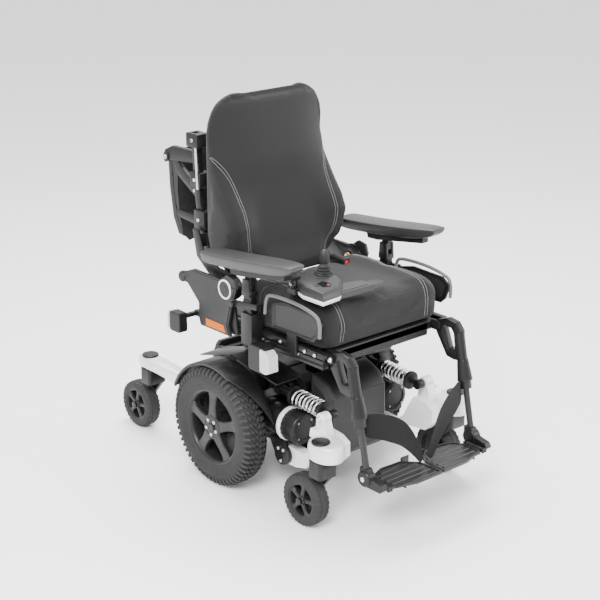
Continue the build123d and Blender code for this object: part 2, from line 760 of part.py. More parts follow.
def armrest_bar():
    pivot_y, pivot_z = ARMREST_PIVOT
    bar = plate_x([(-54, 667), (-60, 651), (-100, 652), (-290, 682), (-290, 699), (-120, 676.5)], 249, 273, 3)
    lug = plate_x([(pivot_y - 13, 664), (pivot_y - 13, pivot_z - 12), (pivot_y + 13, pivot_z - 12),
                   (pivot_y + 13, 660)], 254, 268, 6)
    slot = box(246, 276, pivot_y - 22, pivot_y + 22, 640, 656)
    return bar - slot + lug - rod_x(240, 280, pivot_y, pivot_z, 6 + RUNNING_GAP)


def joystick_arm():
    """Bracket under the right arm pad with the swing-away pin."""
    tongue = box(-249, -214, -286, -262, 678, 688)
    pin = rod_z(-222, -274, 641, 678, 5)
    return tongue + pin


def joystick_pod():
    x, y, z = STICK
    low = [(-192, -214), (-142, -198), (-98, -208), (-76, -256), (-100, -332), (-168, -392), (-234, -398),
           (-236, -318)]
    body = plate_z(low, 634, 667, 8)
    body = chamfer(body.edges().group_by(Axis.Z)[-1], 7)
    wing = plate_z([(-120, -322), (-164, -388), (-44, -392), (-44, -346), (-70, -334)], 636, 652, 4)
    lug = box(-238, -206, -290, -258, 640, 654)
    pod = body + wing + lug
    pod -= rod_z(x, y, z + 3, 680, 28)
    pod -= rod_z(x, y, z - 11, 680, 21)
    pod -= rod_z(-222, -274, 630, 690, 5 + RUNNING_GAP)
    pod += rod_x(x - 22, x - 15, y, z, 1.5) + rod_x(x + 15, x + 22, y, z, 1.5)
    return pod


def pod_buttons():
    return [rod_z(-150, -222, 667, 669, 6), rod_z(-196, -330, 667, 669, 6)]


def gimbal_ring():
    x, y, z = STICK
    ring = rod_z(x, y, z - 3, z + 3, 17) - rod_z(x, y, z - 5, z + 5, 13)
    ring -= rod_x(x - 25, x + 25, y, z, 1.5 + RUNNING_GAP)
    pins = rod_y(x, y - 14.5, y - 7, z, 1.5) + rod_y(x, y + 7, y + 14.5, z, 1.5)
    return ring + pins


def joystick_knob():
    """Gaiter, stem and rounded knob, which tilt together."""
    x, y, z = STICK
    gaiter = Pos(x, y, z + 31) * Cone(21.5, 14, 30)
    for level, r in ((21, 21.5), (29, 19), (37, 16.5)):
        gaiter += rod_z(x, y, z + level, z + level + 4, r)
    gaiter -= rod_z(x, y, z + 8, z + 30, 16)
    stem = rod_z(x, y, z - 5, z + 50, 6) - rod_y(x, y - 10, y + 10, z, 1.5 + RUNNING_GAP)
    knob = rod_z(x, y, z + 50, z + 86, 12)
    knob = fillet(knob.edges().group_by(Axis.Z)[-1], 9)
    return gaiter + stem + knob


def speed_paddle():
    """Rocker at the end of the pod's wing, with a round knuckle on its axis along Y."""
    knuckle_x = PADDLE_AXIS[0]
    blade = plate_z([(knuckle_x, -390), (knuckle_x, -352), (-4, -356), (2, -366), (2, -380), (-6, -388)],
                    PADDLE_AXIS[1] - PADDLE_R, PADDLE_AXIS[1] + PADDLE_R)
    return blade + rod_y(knuckle_x, -390, -352, PADDLE_AXIS[1], PADDLE_R)


CABLE_POINTS = [(-206, -226, 650), (-224, -196, 648), (-240, -170, 634), (-244, -153, 608),
                (-244, -153, 580.2)]


def cable_radii(points):
    """Largest arc that fits at each corner of a cord's route."""
    radii = []
    for before, here, after in zip(points, points[1:], points[2:]):
        a, b = Vector(*here) - Vector(*before), Vector(*after) - Vector(*here)
        half_turn = math.radians(a.get_angle(b)) / 2
        radii.append(0.45 * min(a.length, b.length) / math.tan(half_turn))
    return radii


def joystick_cable():
    radii = cable_radii(CABLE_POINTS)
    print("joystick cable radii", [round(r) for r in radii])
    line = FilletPolyline(*CABLE_POINTS, radius=radii)
    return sweep(Plane(origin=CABLE_POINTS[0], z_dir=line % 0) * Circle(CABLE_R), path=line)


# ---- leg supports -------------------------------------------------------------------------

def leg_point(z, x=HANGER_X):
    """Point at height z on the axis of the leg tube."""
    return (x, LEG_TOP[0] - (LEG_TOP[1] - z) * LEG_LEAN, z)


def hanger():
    """D-shaped hanger with the outer tube, its tapered sleeve and the clamp collar."""
    y, z = KNEE_PIVOT
    frame = plate_x([(-398, 480), (-398, 494), (-406, 500), (-440, 512), (-474, 507), (-492, 486),
                     (-500, 402), (-474, 398), (-446, 402), (-404, 464)], 193, 214.6, 6)
    gap = plate_x([(-430, 482), (-434, 490), (-460, 489), (-470, 476), (-477, 428), (-452, 426)], 180, 230, 3)
    frame -= gap
    frame += rod_between(leg_point(480), leg_point(SLEEVE_Z[1]), 14)
    low, high = leg_point(SLEEVE_Z[0]), leg_point(SLEEVE_Z[1])
    run = Vector(*high) - Vector(*low)
    sleeve = Plane(origin=low, z_dir=run).location * Pos(0, 0, run.length / 2) * Cone(22, 16, run.length)
    frame += sleeve + rod_between(leg_point(SLEEVE_Z[0] + 1), leg_point(COLLAR_LOW_Z), 17)
    frame -= rod_x(180, 230, y, z, 6 + RUNNING_GAP)
    return frame - rod_between(leg_point(COLLAR_LOW_Z - 5), leg_point(470), LEG_TUBE_R + RUNNING_GAP)


def leg_tube():
    tube = rod_between(leg_point(404), leg_point(190), LEG_TUBE_R)
    casting = plate_x([(-522, 216), (-552, 214), (-562, 192), (-604, 184), (-612, 171), (-600, 161),
                       (-544, 161), (-520, 180)], 190, 216, 5)
    disc = rod_x(190, 220, -542, 184, 22)
    x, z = FLIP_AXIS
    ears = box(x - 7, 192, -612, -604, z - 7, z + 7) + box(x - 7, 192, -544, -536, z - 7, z + 7)
    pin = rod_y(x, -612, -536, z, 4)
    return tube + casting + disc + ears + pin


def footplate():
    x, z = FLIP_AXIS
    plan = [(170, -606), (170, -546), (158, -520), (118, -504), (46, -508), (8, -548), (3, -600), (3, -627),
            (96, -627)]
    plate = plate_z(plan, z - 5, z + 1, 3)
    for y in (-596, -566):
        plate += box(12, 168, y - 5, y + 5, z + 0.5, z + 5)
    barrel = rod_y(x, -603.5, -544.5, z, 7)
    plate += box(168, x, -603.5, -544.5, z - 5, z + 1) + barrel
    heel = box(16, 46, -512, -508, z - 5, z + 14)
    return plate + heel - rod_y(x, -620, -530, z, 4 + RUNNING_GAP)


def leg_strap():
    """Calf and heel strap from the collar to the inner rear of the footplate."""
    face = [(181, 342), (181, 322), (150, 292), (104, 246), (66, 204), (48, 180), (14, 180), (36, 226),
            (80, 288), (130, 332)]
    return plate_y(face, -507, -504)


def main():
    os.makedirs("parts", exist_ok=True)
    plate = side_plate()
    save("chassis_frame", plate, right(plate), tray(), *cross_bars(), tilt_lug(), right(tilt_lug()),
         lift_bracket(), deck(), right(deck()))
    save("batteries", battery(-104, 26), battery(34, 164))
    save("base_covers", front_cover(), rear_cover())
    save_group("fenders", fender())
    save_group("drive_motors", gearbox(), *motor(), motor_cap())
    save_group("arm_brackets", *front_arm_bracket(), rear_arm_bracket(), shock_mount(), tie_down())
    save_both("drive_tyre", drive_tyre())
    save_both("drive_rim", drive_rim(), drive_shaft(), *wheel_bolts())
    for end, x, swivel_y, head in (("front", FRONT_CASTER_X, FRONT_SWIVEL_Y, FRONT_HEAD_Z),
                                   ("rear", REAR_CASTER_X, REAR_SWIVEL_Y, REAR_HEAD_Z)):
        save_both(end + "_fork", *caster_fork(x, swivel_y, head))
        save_both(end + "_caster_wheel", *caster_wheel(x, swivel_y + CASTER_TRAIL))
    save_both("front_arm", *front_arm())
    save_both("rear_arm", rear_arm())
    save_both("shock_body", shock_body())
    save_both("shock_rod", shock_rod())
    save_both("shock_spring", shock_spring())
    save("tilt_actuator_body", lift_body())
    save("tilt_actuator_rod", lift_rod())
    frame = [rails(), *rail_bolts(), hanger_clevis(), seat_upright(), post_socket()]
    save("seat_frame", seat_cross(), *frame, *[right(piece) for piece in frame])
    save("seat_cushion", seat_cushion())
    save_group("side_covers", *side_cover())
    save_group("side_guards", *side_guard())
    save_group("lamp_housings", front_lamp_housing(), rear_lamp_housing())
    save_group("lamp_lenses", *front_lamp_lens(), rear_lamp_lens())
    save("seat_belt", *seat_belt())
    save("belt_buckle", buckle())
    save("buckle_button", buckle_button())
    blocks, rod = back_blocks()
    uprights = [back_side_plate(), cane(), *blocks, rod, module_arm()]
    save("back_frame", back_cross(), *uprights, *[right(piece) for piece in uprights])
    save("back_shell", back_shell(), shear_bracket(), right(shear_bracket()))
    save("back_cushion", back_cushion())
    save("rear_module", rear_module())
    save("left_arm_post", arm_post())
    save("right_arm_post", right(arm_post()), cable_socket())
    save("left_armrest", armrest_pad(), armrest_bar())
    save("right_armrest", right(armrest_pad()), right(armrest_bar()), joystick_arm())
    save("joystick_pod", joystick_pod(), *pod_buttons())
    save("gimbal_ring", gimbal_ring())
    save("joystick_knob", joystick_knob())
    save("speed_paddle", speed_paddle())
    save("joystick_cable", joystick_cable())
    save_both("hanger", hanger())
    save_both("leg_tube", leg_tube())
    save_both("footplate", footplate())
    save_both("leg_strap", leg_strap())


main()
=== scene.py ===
import math
import bmesh
import bpy
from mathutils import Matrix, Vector
from mathutils.bvhtree import BVHTree


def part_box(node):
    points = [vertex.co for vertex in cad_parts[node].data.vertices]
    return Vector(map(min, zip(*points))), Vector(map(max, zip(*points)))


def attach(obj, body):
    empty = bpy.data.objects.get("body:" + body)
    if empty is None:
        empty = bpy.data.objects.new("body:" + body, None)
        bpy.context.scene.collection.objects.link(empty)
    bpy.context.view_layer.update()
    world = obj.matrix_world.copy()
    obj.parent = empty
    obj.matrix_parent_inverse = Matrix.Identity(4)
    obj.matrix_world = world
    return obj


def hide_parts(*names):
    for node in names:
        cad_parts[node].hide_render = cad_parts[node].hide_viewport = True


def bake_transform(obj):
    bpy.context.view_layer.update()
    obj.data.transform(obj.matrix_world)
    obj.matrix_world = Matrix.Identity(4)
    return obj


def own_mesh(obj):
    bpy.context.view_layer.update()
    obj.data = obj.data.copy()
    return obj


# Looks of the power wheelchair. Shapes are given in millimetres about the floor point under the
# drive axle, on the chair's left side (+X), and side -1 mirrors them to the right.

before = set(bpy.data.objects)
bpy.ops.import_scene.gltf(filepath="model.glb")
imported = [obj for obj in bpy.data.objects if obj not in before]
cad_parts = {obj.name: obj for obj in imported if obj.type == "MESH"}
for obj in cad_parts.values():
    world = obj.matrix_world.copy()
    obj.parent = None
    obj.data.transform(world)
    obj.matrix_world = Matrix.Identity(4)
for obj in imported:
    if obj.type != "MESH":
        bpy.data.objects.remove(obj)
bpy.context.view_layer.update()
MM = 0.001
SIDES = (("left", 1), ("right", -1))


def box_centre(node):
    low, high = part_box(node)
    return [(low[axis] + high[axis]) / 2 for axis in range(3)]


AXLE = box_centre("left_drive_tyre")
AXLE_Y = AXLE[1]
DRIVE_Z = AXLE[2] / MM
DRIVE_TYRE_R = 178.0
DRIVE_TYRE_X = (233.0, 313.0)
TYRE_BEAD_R = 112.0


def at(x, y, z):
    """Point in the shared frame, in metres."""
    return Vector((x * MM, y * MM + AXLE_Y, z * MM))


def drawn(place):
    """A place in metres as millimetres in the axle's frame."""
    return place[0] / MM, (place[1] - AXLE_Y) / MM, place[2] / MM


# ---- camera, light and floor ---------------------------------------------------------------

CAMERA_AZIMUTH = math.radians(-41.24)
CAMERA_ELEVATION = math.radians(19.18)
CAMERA_DISTANCE = 4.348
CAMERA_TARGET = Vector((0.0342, 0.0355, 0.4878))
CAMERA_LENS = 88.4


def place_camera():
    data = bpy.data.cameras.new("camera")
    data.lens = CAMERA_LENS
    camera = bpy.data.objects.new("camera", data)
    bpy.context.scene.collection.objects.link(camera)
    away = Vector((math.sin(CAMERA_AZIMUTH) * math.cos(CAMERA_ELEVATION),
                   -math.cos(CAMERA_AZIMUTH) * math.cos(CAMERA_ELEVATION), math.sin(CAMERA_ELEVATION)))
    camera.location = CAMERA_TARGET + away * CAMERA_DISTANCE
    camera.rotation_euler = (-away).to_track_quat("-Z", "Y").to_euler()
    bpy.context.scene.camera = camera


def area_light(name, place, size, power):
    data = bpy.data.lights.new(name, "AREA")
    data.size = size
    data.energy = power
    lamp = bpy.data.objects.new(name, data)
    lamp.location = place
    lamp.rotation_euler = (Vector((0, 0, 0.5)) - Vector(place)).to_track_quat("-Z", "Y").to_euler()
    bpy.context.scene.collection.objects.link(lamp)


def studio():
    world = bpy.data.worlds.new("studio")
    world.use_nodes = True
    backdrop = world.node_tree.nodes["Background"]
    backdrop.inputs["Color"].default_value = (1.0, 1.0, 1.0, 1.0)
    backdrop.inputs["Strength"].default_value = 1.7
    bpy.context.scene.world = world
    area_light("key", (-2.6, -2.0, 3.2), 1.6, 300)
    area_light("fill", (2.8, -2.2, 1.6), 1.8, 70)
    area_light("top", (0.4, 0.9, 3.4), 1.8, 200)
    mesh = bpy.data.meshes.new("floor")
    mesh.from_pydata([(-14, -14, 0), (14, -14, 0), (14, 14, 0), (-14, 14, 0)], [], [(0, 1, 2, 3)])
    floor = bpy.data.objects.new("floor", mesh)
    bpy.context.scene.collection.objects.link(floor)
    mesh.materials.append(FLOOR)


# ---- materials -----------------------------------------------------------------------------

class Look:
    """A material under construction."""

    def __init__(self, name, roughness, metallic=0.0, **settings):
        self.material = bpy.data.materials.new(name)
        self.material.use_nodes = True
        self.tree = self.material.node_tree
        self.shader = self.tree.nodes["Principled BSDF"]
        self.shader.inputs["Roughness"].default_value = roughness
        self.shader.inputs["Metallic"].default_value = metallic
        for key, value in settings.items():
            self.shader.inputs[key.replace("_", " ")].default_value = value
        self.place = self.node("ShaderNodeTexCoord").outputs["Object"]

    def node(self, kind, inputs=None, **settings):
        node = self.tree.nodes.new(kind)
        for key, value in settings.items():
            setattr(node, key, value)
        for key, value in (inputs or {}).items():
            if isinstance(value, bpy.types.NodeSocket):
                self.tree.links.new(value, node.inputs[key])
            else:
                node.inputs[key].default_value = value
        return node

    def noise(self, scale, detail=3.0):
        return self.node("ShaderNodeTexNoise", {"Vector": self.place, "Scale": scale, "Detail": detail})

    def ramp(self, factor, stops):
        """Colours at places along a factor."""
        node = self.node("ShaderNodeValToRGB", {"Fac": factor})
        bands = node.color_ramp.elements
        bands[0].position, bands[0].color = stops[0][0], (*stops[0][1], 1)
        bands[1].position, bands[1].color = stops[-1][0], (*stops[-1][1], 1)
        for place, colour in stops[1:-1]:
            bands.new(place).color = (*colour, 1)
        return node.outputs["Color"]

    def math(self, operation, first, second=0.0):
        node = self.node("ShaderNodeMath", operation=operation)
        for index, value in enumerate((first, second)):
            if isinstance(value, bpy.types.NodeSocket):
                self.tree.links.new(value, node.inputs[index])
            else:
                node.inputs[index].default_value = value
        return node.outputs[0]

    def colour(self, socket):
        self.tree.links.new(socket, self.shader.inputs["Base Color"])

    def rough(self, socket, low, high):
        mapped = self.node("ShaderNodeMapRange", {"Value": socket, "To Min": low, "To Max": high})
        self.tree.links.new(mapped.outputs["Result"], self.shader.inputs["Roughness"])

    def bump(self, height, strength, distance):
        node = self.node("ShaderNodeBump", {"Height": height, "Strength": strength, "Distance": distance})
        self.tree.links.new(node.outputs["Normal"], self.shader.inputs["Normal"])


def shade(colour, factor):
    return tuple(min(1.0, part * factor) for part in colour)


def moulded(name, colour, roughness, grain=650.0, bump=0.18, wear=1.5, metallic=0.0, **settings):
    """Moulded or painted surface: fine grain, slight mottling, and lighter worn edges."""
    settings.setdefault("Specular_IOR_Level", 0.3)
    look = Look(name, roughness, metallic, **settings)
    mottle = look.noise(14.0, 4.0).outputs["Fac"]
    tone = look.ramp(mottle, [(0.3, shade(colour, 0.86)), (0.7, shade(colour, 1.14))])
    edge = look.node("ShaderNodeNewGeometry").outputs["Pointiness"]
    worn = look.ramp(edge, [(0.52, (0, 0, 0)), (0.6, (1, 1, 1))])
    rubbed = look.math("MULTIPLY", worn, look.noise(90.0).outputs["Fac"])
    mix = look.node("ShaderNodeMix", data_type="RGBA")
    look.tree.links.new(rubbed, mix.inputs[0])
    look.tree.links.new(tone, mix.inputs[6])
    mix.inputs[7].default_value = (*shade(colour, wear), 1)
    look.colour(mix.outputs[2])
    look.rough(look.noise(40.0).outputs["Fac"], roughness * 0.85, min(1.0, roughness * 1.2))
    look.bump(look.noise(grain, 2.0).outputs["Fac"], bump, 0.0004)
    return look.material


def woven(name, colour, pitch, sheen=0.1):
    """Woven cloth, its yarns crossing on whichever two axes lie in the surface."""
    look = Look(name, 0.9, Sheen_Weight=sheen, Sheen_Roughness=0.45, Specular_IOR_Level=0.2)
    yarns = 2 * math.pi / (pitch * MM)
    spread = look.node("ShaderNodeVectorMath", {0: look.place}, operation="SCALE")
    spread.inputs["Scale"].default_value = yarns
    wave = look.node("ShaderNodeVectorMath", {0: spread.outputs[0]}, operation="SINE")
    parts = look.node("ShaderNodeSeparateXYZ", {0: wave.outputs[0]}).outputs
    pairs = [look.math("MULTIPLY", parts[a], parts[b]) for a, b in ((1, 2), (0, 2), (0, 1))]
    crossing = look.node("ShaderNodeCombineXYZ", dict(enumerate(pairs)))
    normal = look.node("ShaderNodeNewGeometry").outputs["Normal"]
    facing = look.node("ShaderNodeVectorMath", {0: normal}, operation="ABSOLUTE")
    weave = look.node("ShaderNodeVectorMath", {0: crossing.outputs[0], 1: facing.outputs[0]},
                      operation="DOT_PRODUCT").outputs["Value"]
    fuzz = look.noise(420.0, 3.0).outputs["Fac"]
    height = look.math("ADD", weave, fuzz)
    look.colour(look.ramp(look.math("MULTIPLY", height, 0.6),
                          [(0.0, shade(colour, 0.6)), (0.35, colour), (0.9, shade(colour, 1.5))]))
    look.rough(fuzz, 0.8, 1.0)
    look.bump(height, 0.5, 0.0006)
    return look.material


def pebbled(name, colour, roughness):
    """Self-skinned foam with a leather grain."""
    look = Look(name, roughness)
    cells = look.node("ShaderNodeTexVoronoi", {"Vector": look.place, "Scale": 520.0},
                      feature="DISTANCE_TO_EDGE").outputs["Distance"]
    mottle = look.noise(11.0, 5.0).outputs["Fac"]
    look.colour(look.ramp(mottle, [(0.3, shade(colour, 0.88)), (0.7, shade(colour, 1.12))]))
    look.rough(look.noise(60.0).outputs["Fac"], roughness * 0.85, roughness * 1.15)
    look.bump(cells, 0.35, 0.0005)
    return look.material


def metal(name, colour, roughness):
    """Bare or plated metal with fine scratches."""
    look = Look(name, roughness, 1.0)
    stretch = look.node("ShaderNodeMapping", {"Vector": look.place, "Scale": (900.0, 60.0, 60.0)})
    lines = look.node("ShaderNodeTexNoise", {"Vector": stretch.outputs[0], "Scale": 1.0, "Detail": 2.0})
    look.colour(look.ramp(lines.outputs["Fac"], [(0.3, shade(colour, 0.9)), (0.7, shade(colour, 1.08))]))
    look.rough(lines.outputs["Fac"], roughness * 0.8, roughness * 1.3)
    look.bump(lines.outputs["Fac"], 0.05, 0.0002)
    return look.material


def prismatic(name, colour, roughness, **settings):
    """Clear or coloured lens with small moulded cells."""
    look = Look(name, roughness, **settings)
    cells = look.node("ShaderNodeTexVoronoi", {"Vector": look.place, "Scale": 380.0}).outputs["Distance"]
    look.colour(look.ramp(cells, [(0.0, shade(colour, 1.25)), (0.8, shade(colour, 0.8))]))
    look.bump(cells, 0.4, 0.0006)
    return look.material


def pale_floor():
    look = Look("floor", 0.6)
    look.colour(look.ramp(look.noise(3.0).outputs["Fac"],
                          [(0.0, (0.93, 0.93, 0.93)), (1.0, (0.96, 0.96, 0.96))]))
    return look.material


FLOOR = pale_floor()

# Each look's maker, colour and settings, paired with the name of a slot: its own name, unless
# OTHER_SLOTS gives another.
LOOK_ROWS = {
    "black_steel": (moulded, (0.005, 0.005, 0.0053), 0.36, 500, 0.12, 2.6),
    "grey_shroud": (moulded, (0.023, 0.023, 0.024), 0.46, 620, 0.25),
    "black_plastic": (moulded, (0.005, 0.005, 0.0053), 0.4, 700, 0.3, 2.0),
    "gloss_plastic": (moulded, (0.006, 0.006, 0.0065), 0.16, 300, 0.04, 2.0),
    "silver_paint": (moulded, (0.74, 0.745, 0.75), 0.3, 900, 0.1, 1.2, 0.2),
    "tyre": (moulded, (0.017, 0.017, 0.0174), 0.7, 420, 0.4, 1.8),
    "wheel_rim": (moulded, (0.012, 0.012, 0.0124), 0.36, 500, 0.1, 2.2),
    "spring_steel": (metal, (0.72, 0.73, 0.74), 0.25),
    "seat_fabric": (woven, (0.013, 0.013, 0.0134), 2.6),
    "back_fabric": (woven, (0.0145, 0.0145, 0.015), 2.6),
    "arm_foam": (pebbled, (0.022, 0.022, 0.023), 0.42),
    "side_plastic": (moulded, (0.013, 0.013, 0.0138), 0.42, 640, 0.25),
    "lamp_lens": (prismatic, (0.92, 0.93, 0.94), 0.06),
    "webbing": (woven, (0.008, 0.008, 0.0083), 1.8, 0.06),
    "red_button": (moulded, (0.55, 0.012, 0.012), 0.35, 400, 0.1),
    "battery_case": (moulded, (0.05, 0.05, 0.052), 0.55, 500, 0.2),
    "actuator_metal": (metal, (0.66, 0.67, 0.68), 0.3),
    "pod_plastic": (moulded, (0.02, 0.0203, 0.021), 0.4, 760, 0.22),
    "rubber": (moulded, (0.014, 0.014, 0.0145), 0.5, 480, 0.35),
    "footplate_plastic": (moulded, (0.013, 0.013, 0.0138), 0.3, 560, 0.3),
    "cable_jacket": (moulded, (0.012, 0.012, 0.013), 0.45, 400, 0.1),
    "white_ring": (moulded, (0.8, 0.8, 0.79), 0.4, 500, 0.08, 1.1),
    "orange_lens": (prismatic, (0.55, 0.12, 0.001), 0.4),
    "thread": (woven, (0.32, 0.32, 0.325), 0.8, 0.1),
    "brass": (metal, (0.75, 0.5, 0.2), 0.3),
    "light_guard": (moulded, (0.09, 0.0915, 0.095), 0.4, 640, 0.2),
    "leg_metal": (moulded, (0.02, 0.02, 0.0208), 0.28, 500, 0.06, 1.6, 0.4),
    "reflector": (metal, (0.85, 0.86, 0.87), 0.12),
}
SHADER_SETTINGS = {
    "lamp_lens": {"Transmission_Weight": 0.45, "IOR": 1.47},
    "orange_lens": {"Specular_IOR_Level": 0.15},
}
OTHER_SLOTS = {
    "white_ring": "side_plastic", "orange_lens": "lamp_lens", "thread": "back_fabric",
    "brass": "actuator_metal", "light_guard": "side_plastic", "leg_metal": "black_steel",
    "reflector": "lamp_lens",
}
LOOKS = {name: (make(name, *row, **SHADER_SETTINGS.get(name, {})), OTHER_SLOTS.get(name, name))
         for name, (make, *row) in LOOK_ROWS.items()}

# ---- mesh tools ----------------------------------------------------------------------------


def smoothstep(value, low, high):
    t = min(1.0, max(0.0, (value - low) / (high - low)))
    return t * t * (3 - 2 * t)


def along_table(table, value):
    """Linear reading of a table of (place, amount) rows."""
    if value <= table[0][0]:
        return table[0][1]
    for (a, first), (b, second) in zip(table, table[1:]):
        if value <= b:
            return first + (second - first) * (value - a) / (b - a)
    return table[-1][1]


def turns(count):
    """Angles spread evenly round a circle."""
    return [2 * math.pi * index / count for index in range(count)]


def lathe(profile, centre, axis, steps=48, closed=False):
    """Rings of (along, radius) points about an axis through centre."""
    line = Vector(axis).normalized()
    across = line.orthogonal().normalized()
    other = line.cross(across)
    verts = []
    for along, radius in profile:
        for turn in turns(steps):
            verts.append(Vector(centre) + line * along
                         + (across * math.cos(turn) + other * math.sin(turn)) * radius)
    return verts, ring_faces(len(profile), steps, closed)


def ring_faces(rings, steps, closed=False):
    """Faces between rings of points, with caps on an open row of rings."""
    faces = []
    for row in range(rings if closed else rings - 1):
        after = (row + 1) % rings
        for index in range(steps):
            beside = (index + 1) % steps
            faces.append((row * steps + index, row * steps + beside, after * steps + beside,
                          after * steps + index))
    if not closed:
        faces.append(tuple(range(steps)))
        faces.append(tuple(range((rings - 1) * steps, rings * steps)))
    return faces


def loft(rings, closed=False):
    """Skin over rings of the same number of points: capped at its ends, or closed on itself."""
    verts = [Vector(point) for ring in rings for point in ring]
    return verts, ring_faces(len(rings), len(rings[0]), closed)


def across_chair(rows, closed=False):
    """Skin over outlines across the chair: rows of x with its (y, z) points."""
    return loft([[(x, y, z) for y, z in profile] for x, profile in rows], closed)


def middle_of(outline):
    return tuple(sum(point[axis] for point in outline) / len(outline) for axis in (0, 1))


def inset_profile(profile, amount):
    """The same outline drawn in towards its middle."""
    middle_a, middle_b = middle_of(profile)
    shrunk = []
    for a, b in profile:
        run = math.hypot(a - middle_a, b - middle_b)
        shrunk.append((a + (middle_a - a) * amount / run, b + (middle_b - b) * amount / run))
    return shrunk


AXIS_ORDER = {"x": lambda a, b, c: (c, a, b), "y": lambda a, b, c: (a, c, b), "z": lambda a, b, c: (a, b, c)}


def prism(points, axis, low, high):
    """Outline in the plane across an axis, drawn out from low to high along it."""
    order = AXIS_ORDER[axis]
    return loft([[order(a, b, c) for a, b in points] for c in (low, high)])


def block(x0, x1, y0, y1, z0, z1):
    return prism([(x0, y0), (x1, y0), (x1, y1), (x0, y1)], "z", z0, z1)


def tube(points, radius, steps=12):
    """Round bar along a row of points."""
    path = [Vector(point) for point in points]
    rings = []
    side = None
    for index, here in enumerate(path):
        ahead = path[min(index + 1, len(path) - 1)] - path[max(index - 1, 0)]
        ahead.normalize()
        side = ahead.orthogonal() if side is None else side - ahead * side.dot(ahead)
        side.normalize()
        other = ahead.cross(side)
        rings.append([here + (side * math.cos(turn) + other * math.sin(turn)) * radius
                      for turn in turns(steps)])
    return loft(rings)


def curve_through(points, steps=8):
    """Smooth line through points."""
    path = [Vector(point) for point in points]
    ends = [path[0] * 2 - path[1]] + path + [path[-1] * 2 - path[-2]]
    line = []
    for a, b, c, d in zip(ends, ends[1:], ends[2:], ends[3:]):
        for index in range(steps):
            t = index / steps
            line.append(0.5 * ((2 * b) + (c - a) * t + (2 * a - 5 * b + 4 * c - d) * t ** 2
                               + (3 * b - a - 3 * c + d) * t ** 3))
    return line + [path[-1]]


def join(*shapes):
    verts, faces = [], []
    for shape_verts, shape_faces in shapes:
        start = len(verts)
        verts += shape_verts
        faces += [tuple(index + start for index in face) for face in shape_faces]
    return verts, faces


def turned_x(shape, degrees, y, z):
    """A shape turned about an axis along X."""
    turn = math.radians(degrees)
    cos, sin = math.cos(turn), math.sin(turn)
    verts = []
    for vert in shape[0]:
        dy, dz = vert.y - y, vert.z - z
        verts.append(Vector((vert.x, y + dy * cos - dz * sin, z + dy * sin + dz * cos)))
    return verts, shape[1]


def add(name, shape, body, look, side=1, bevel=0.0, levels=0, stands_for=(), angle=35):
    """A finished piece from a shape, riding on a body."""
    mesh = bpy.data.meshes.new(name)
    mesh.from_pydata([at(side * vert[0], vert[1], vert[2]) for vert in shape[0]], [], shape[1])
    work = bmesh.new()
    work.from_mesh(mesh)
    bmesh.ops.recalc_face_normals(work, faces=work.faces)
    work.to_mesh(mesh)
    work.free()
    mesh.shade_smooth()
    if not levels:
        mesh.set_sharp_from_angle(angle=math.radians(angle))
    material, slot = LOOKS[look]
    mesh.materials.append(material)
    piece = bpy.data.objects.new(name, mesh)
    bpy.context.scene.collection.objects.link(piece)
    if bevel:
        soften(piece, bevel)
    if levels:
        rounder = piece.modifiers.new("subdivide", "SUBSURF")
        rounder.levels = levels
        rounder.render_levels = levels
    if body:
        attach(piece, body)
    if stands_for:
        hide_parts(*stands_for)
    return piece


EDGE_ANGLE = math.radians(32)
WELD_GAP = 0.00002


def soften(piece, width, segments=3):
    """Rounded edges."""
    bevel = piece.modifiers.new("edges", "BEVEL")
    bevel.width = width * MM
    bevel.segments = segments
    bevel.limit_method = "ANGLE"
    bevel.angle_limit = EDGE_ANGLE
    bevel.harden_normals = True


def keep(node, look, bevel=1.0):
    """A CAD node that stays, with its edges eased and a finish."""
    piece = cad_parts[node]
    material = LOOKS[look][0]
    if not piece.material_slots:
        piece.data.materials.append(material)
    for slot in piece.material_slots:
        slot.material = material
    piece.data.shade_smooth()
    weld = piece.modifiers.new("weld", "WELD")
    weld.merge_threshold = WELD_GAP
    soften(piece, bevel, 2)


def cap_screw(place, axis, radius, height):
    """Socket screw head standing on a face."""
    profile = [(-1, radius), (height - 0.8, radius), (height, radius - 0.8), (height, radius * 0.55),
               (height * 0.4, radius * 0.5), (height * 0.4, 0)]
    return lathe(profile, place, axis, 20)


def socket_screws(name, body, places, axis, radius, height, side=1):
    """Bright screws at several places, as one piece."""
    heads = [cap_screw(place, axis, radius, height) for place in places]
    add(name, join(*heads), body, "actuator_metal", side)


# ---- wheels --------------------------------------------------------------------------------

TREAD_PITCHES = 58


def tread_block(across, length, inner, outer, turn, lean):
    """Tapered rubber block at a place round the tyre, each end at its own radius."""
    x0, x1 = across
    middle = (x0 + x1) / 2
    rings = []
    for lift, share in ((0.0, 1.0), (0.6, 0.94), (1.0, 0.8)):
        ring = []
        for end_x, end_y in ((x0, -1), (x1, -1), (x1, 1), (x0, 1)):
            x = middle + (end_x - middle) * share
            crown = (outer[0] if end_x == x0 else outer[1])
            radius = inner + (crown - inner) * lift
            swing = turn + (end_y * length * share / 2 + lean * (x - middle)) / DRIVE_TYRE_R
            ring.append((x, radius * math.sin(swing), DRIVE_Z + radius * math.cos(swing)))
        rings.append(ring)
    return loft(rings)


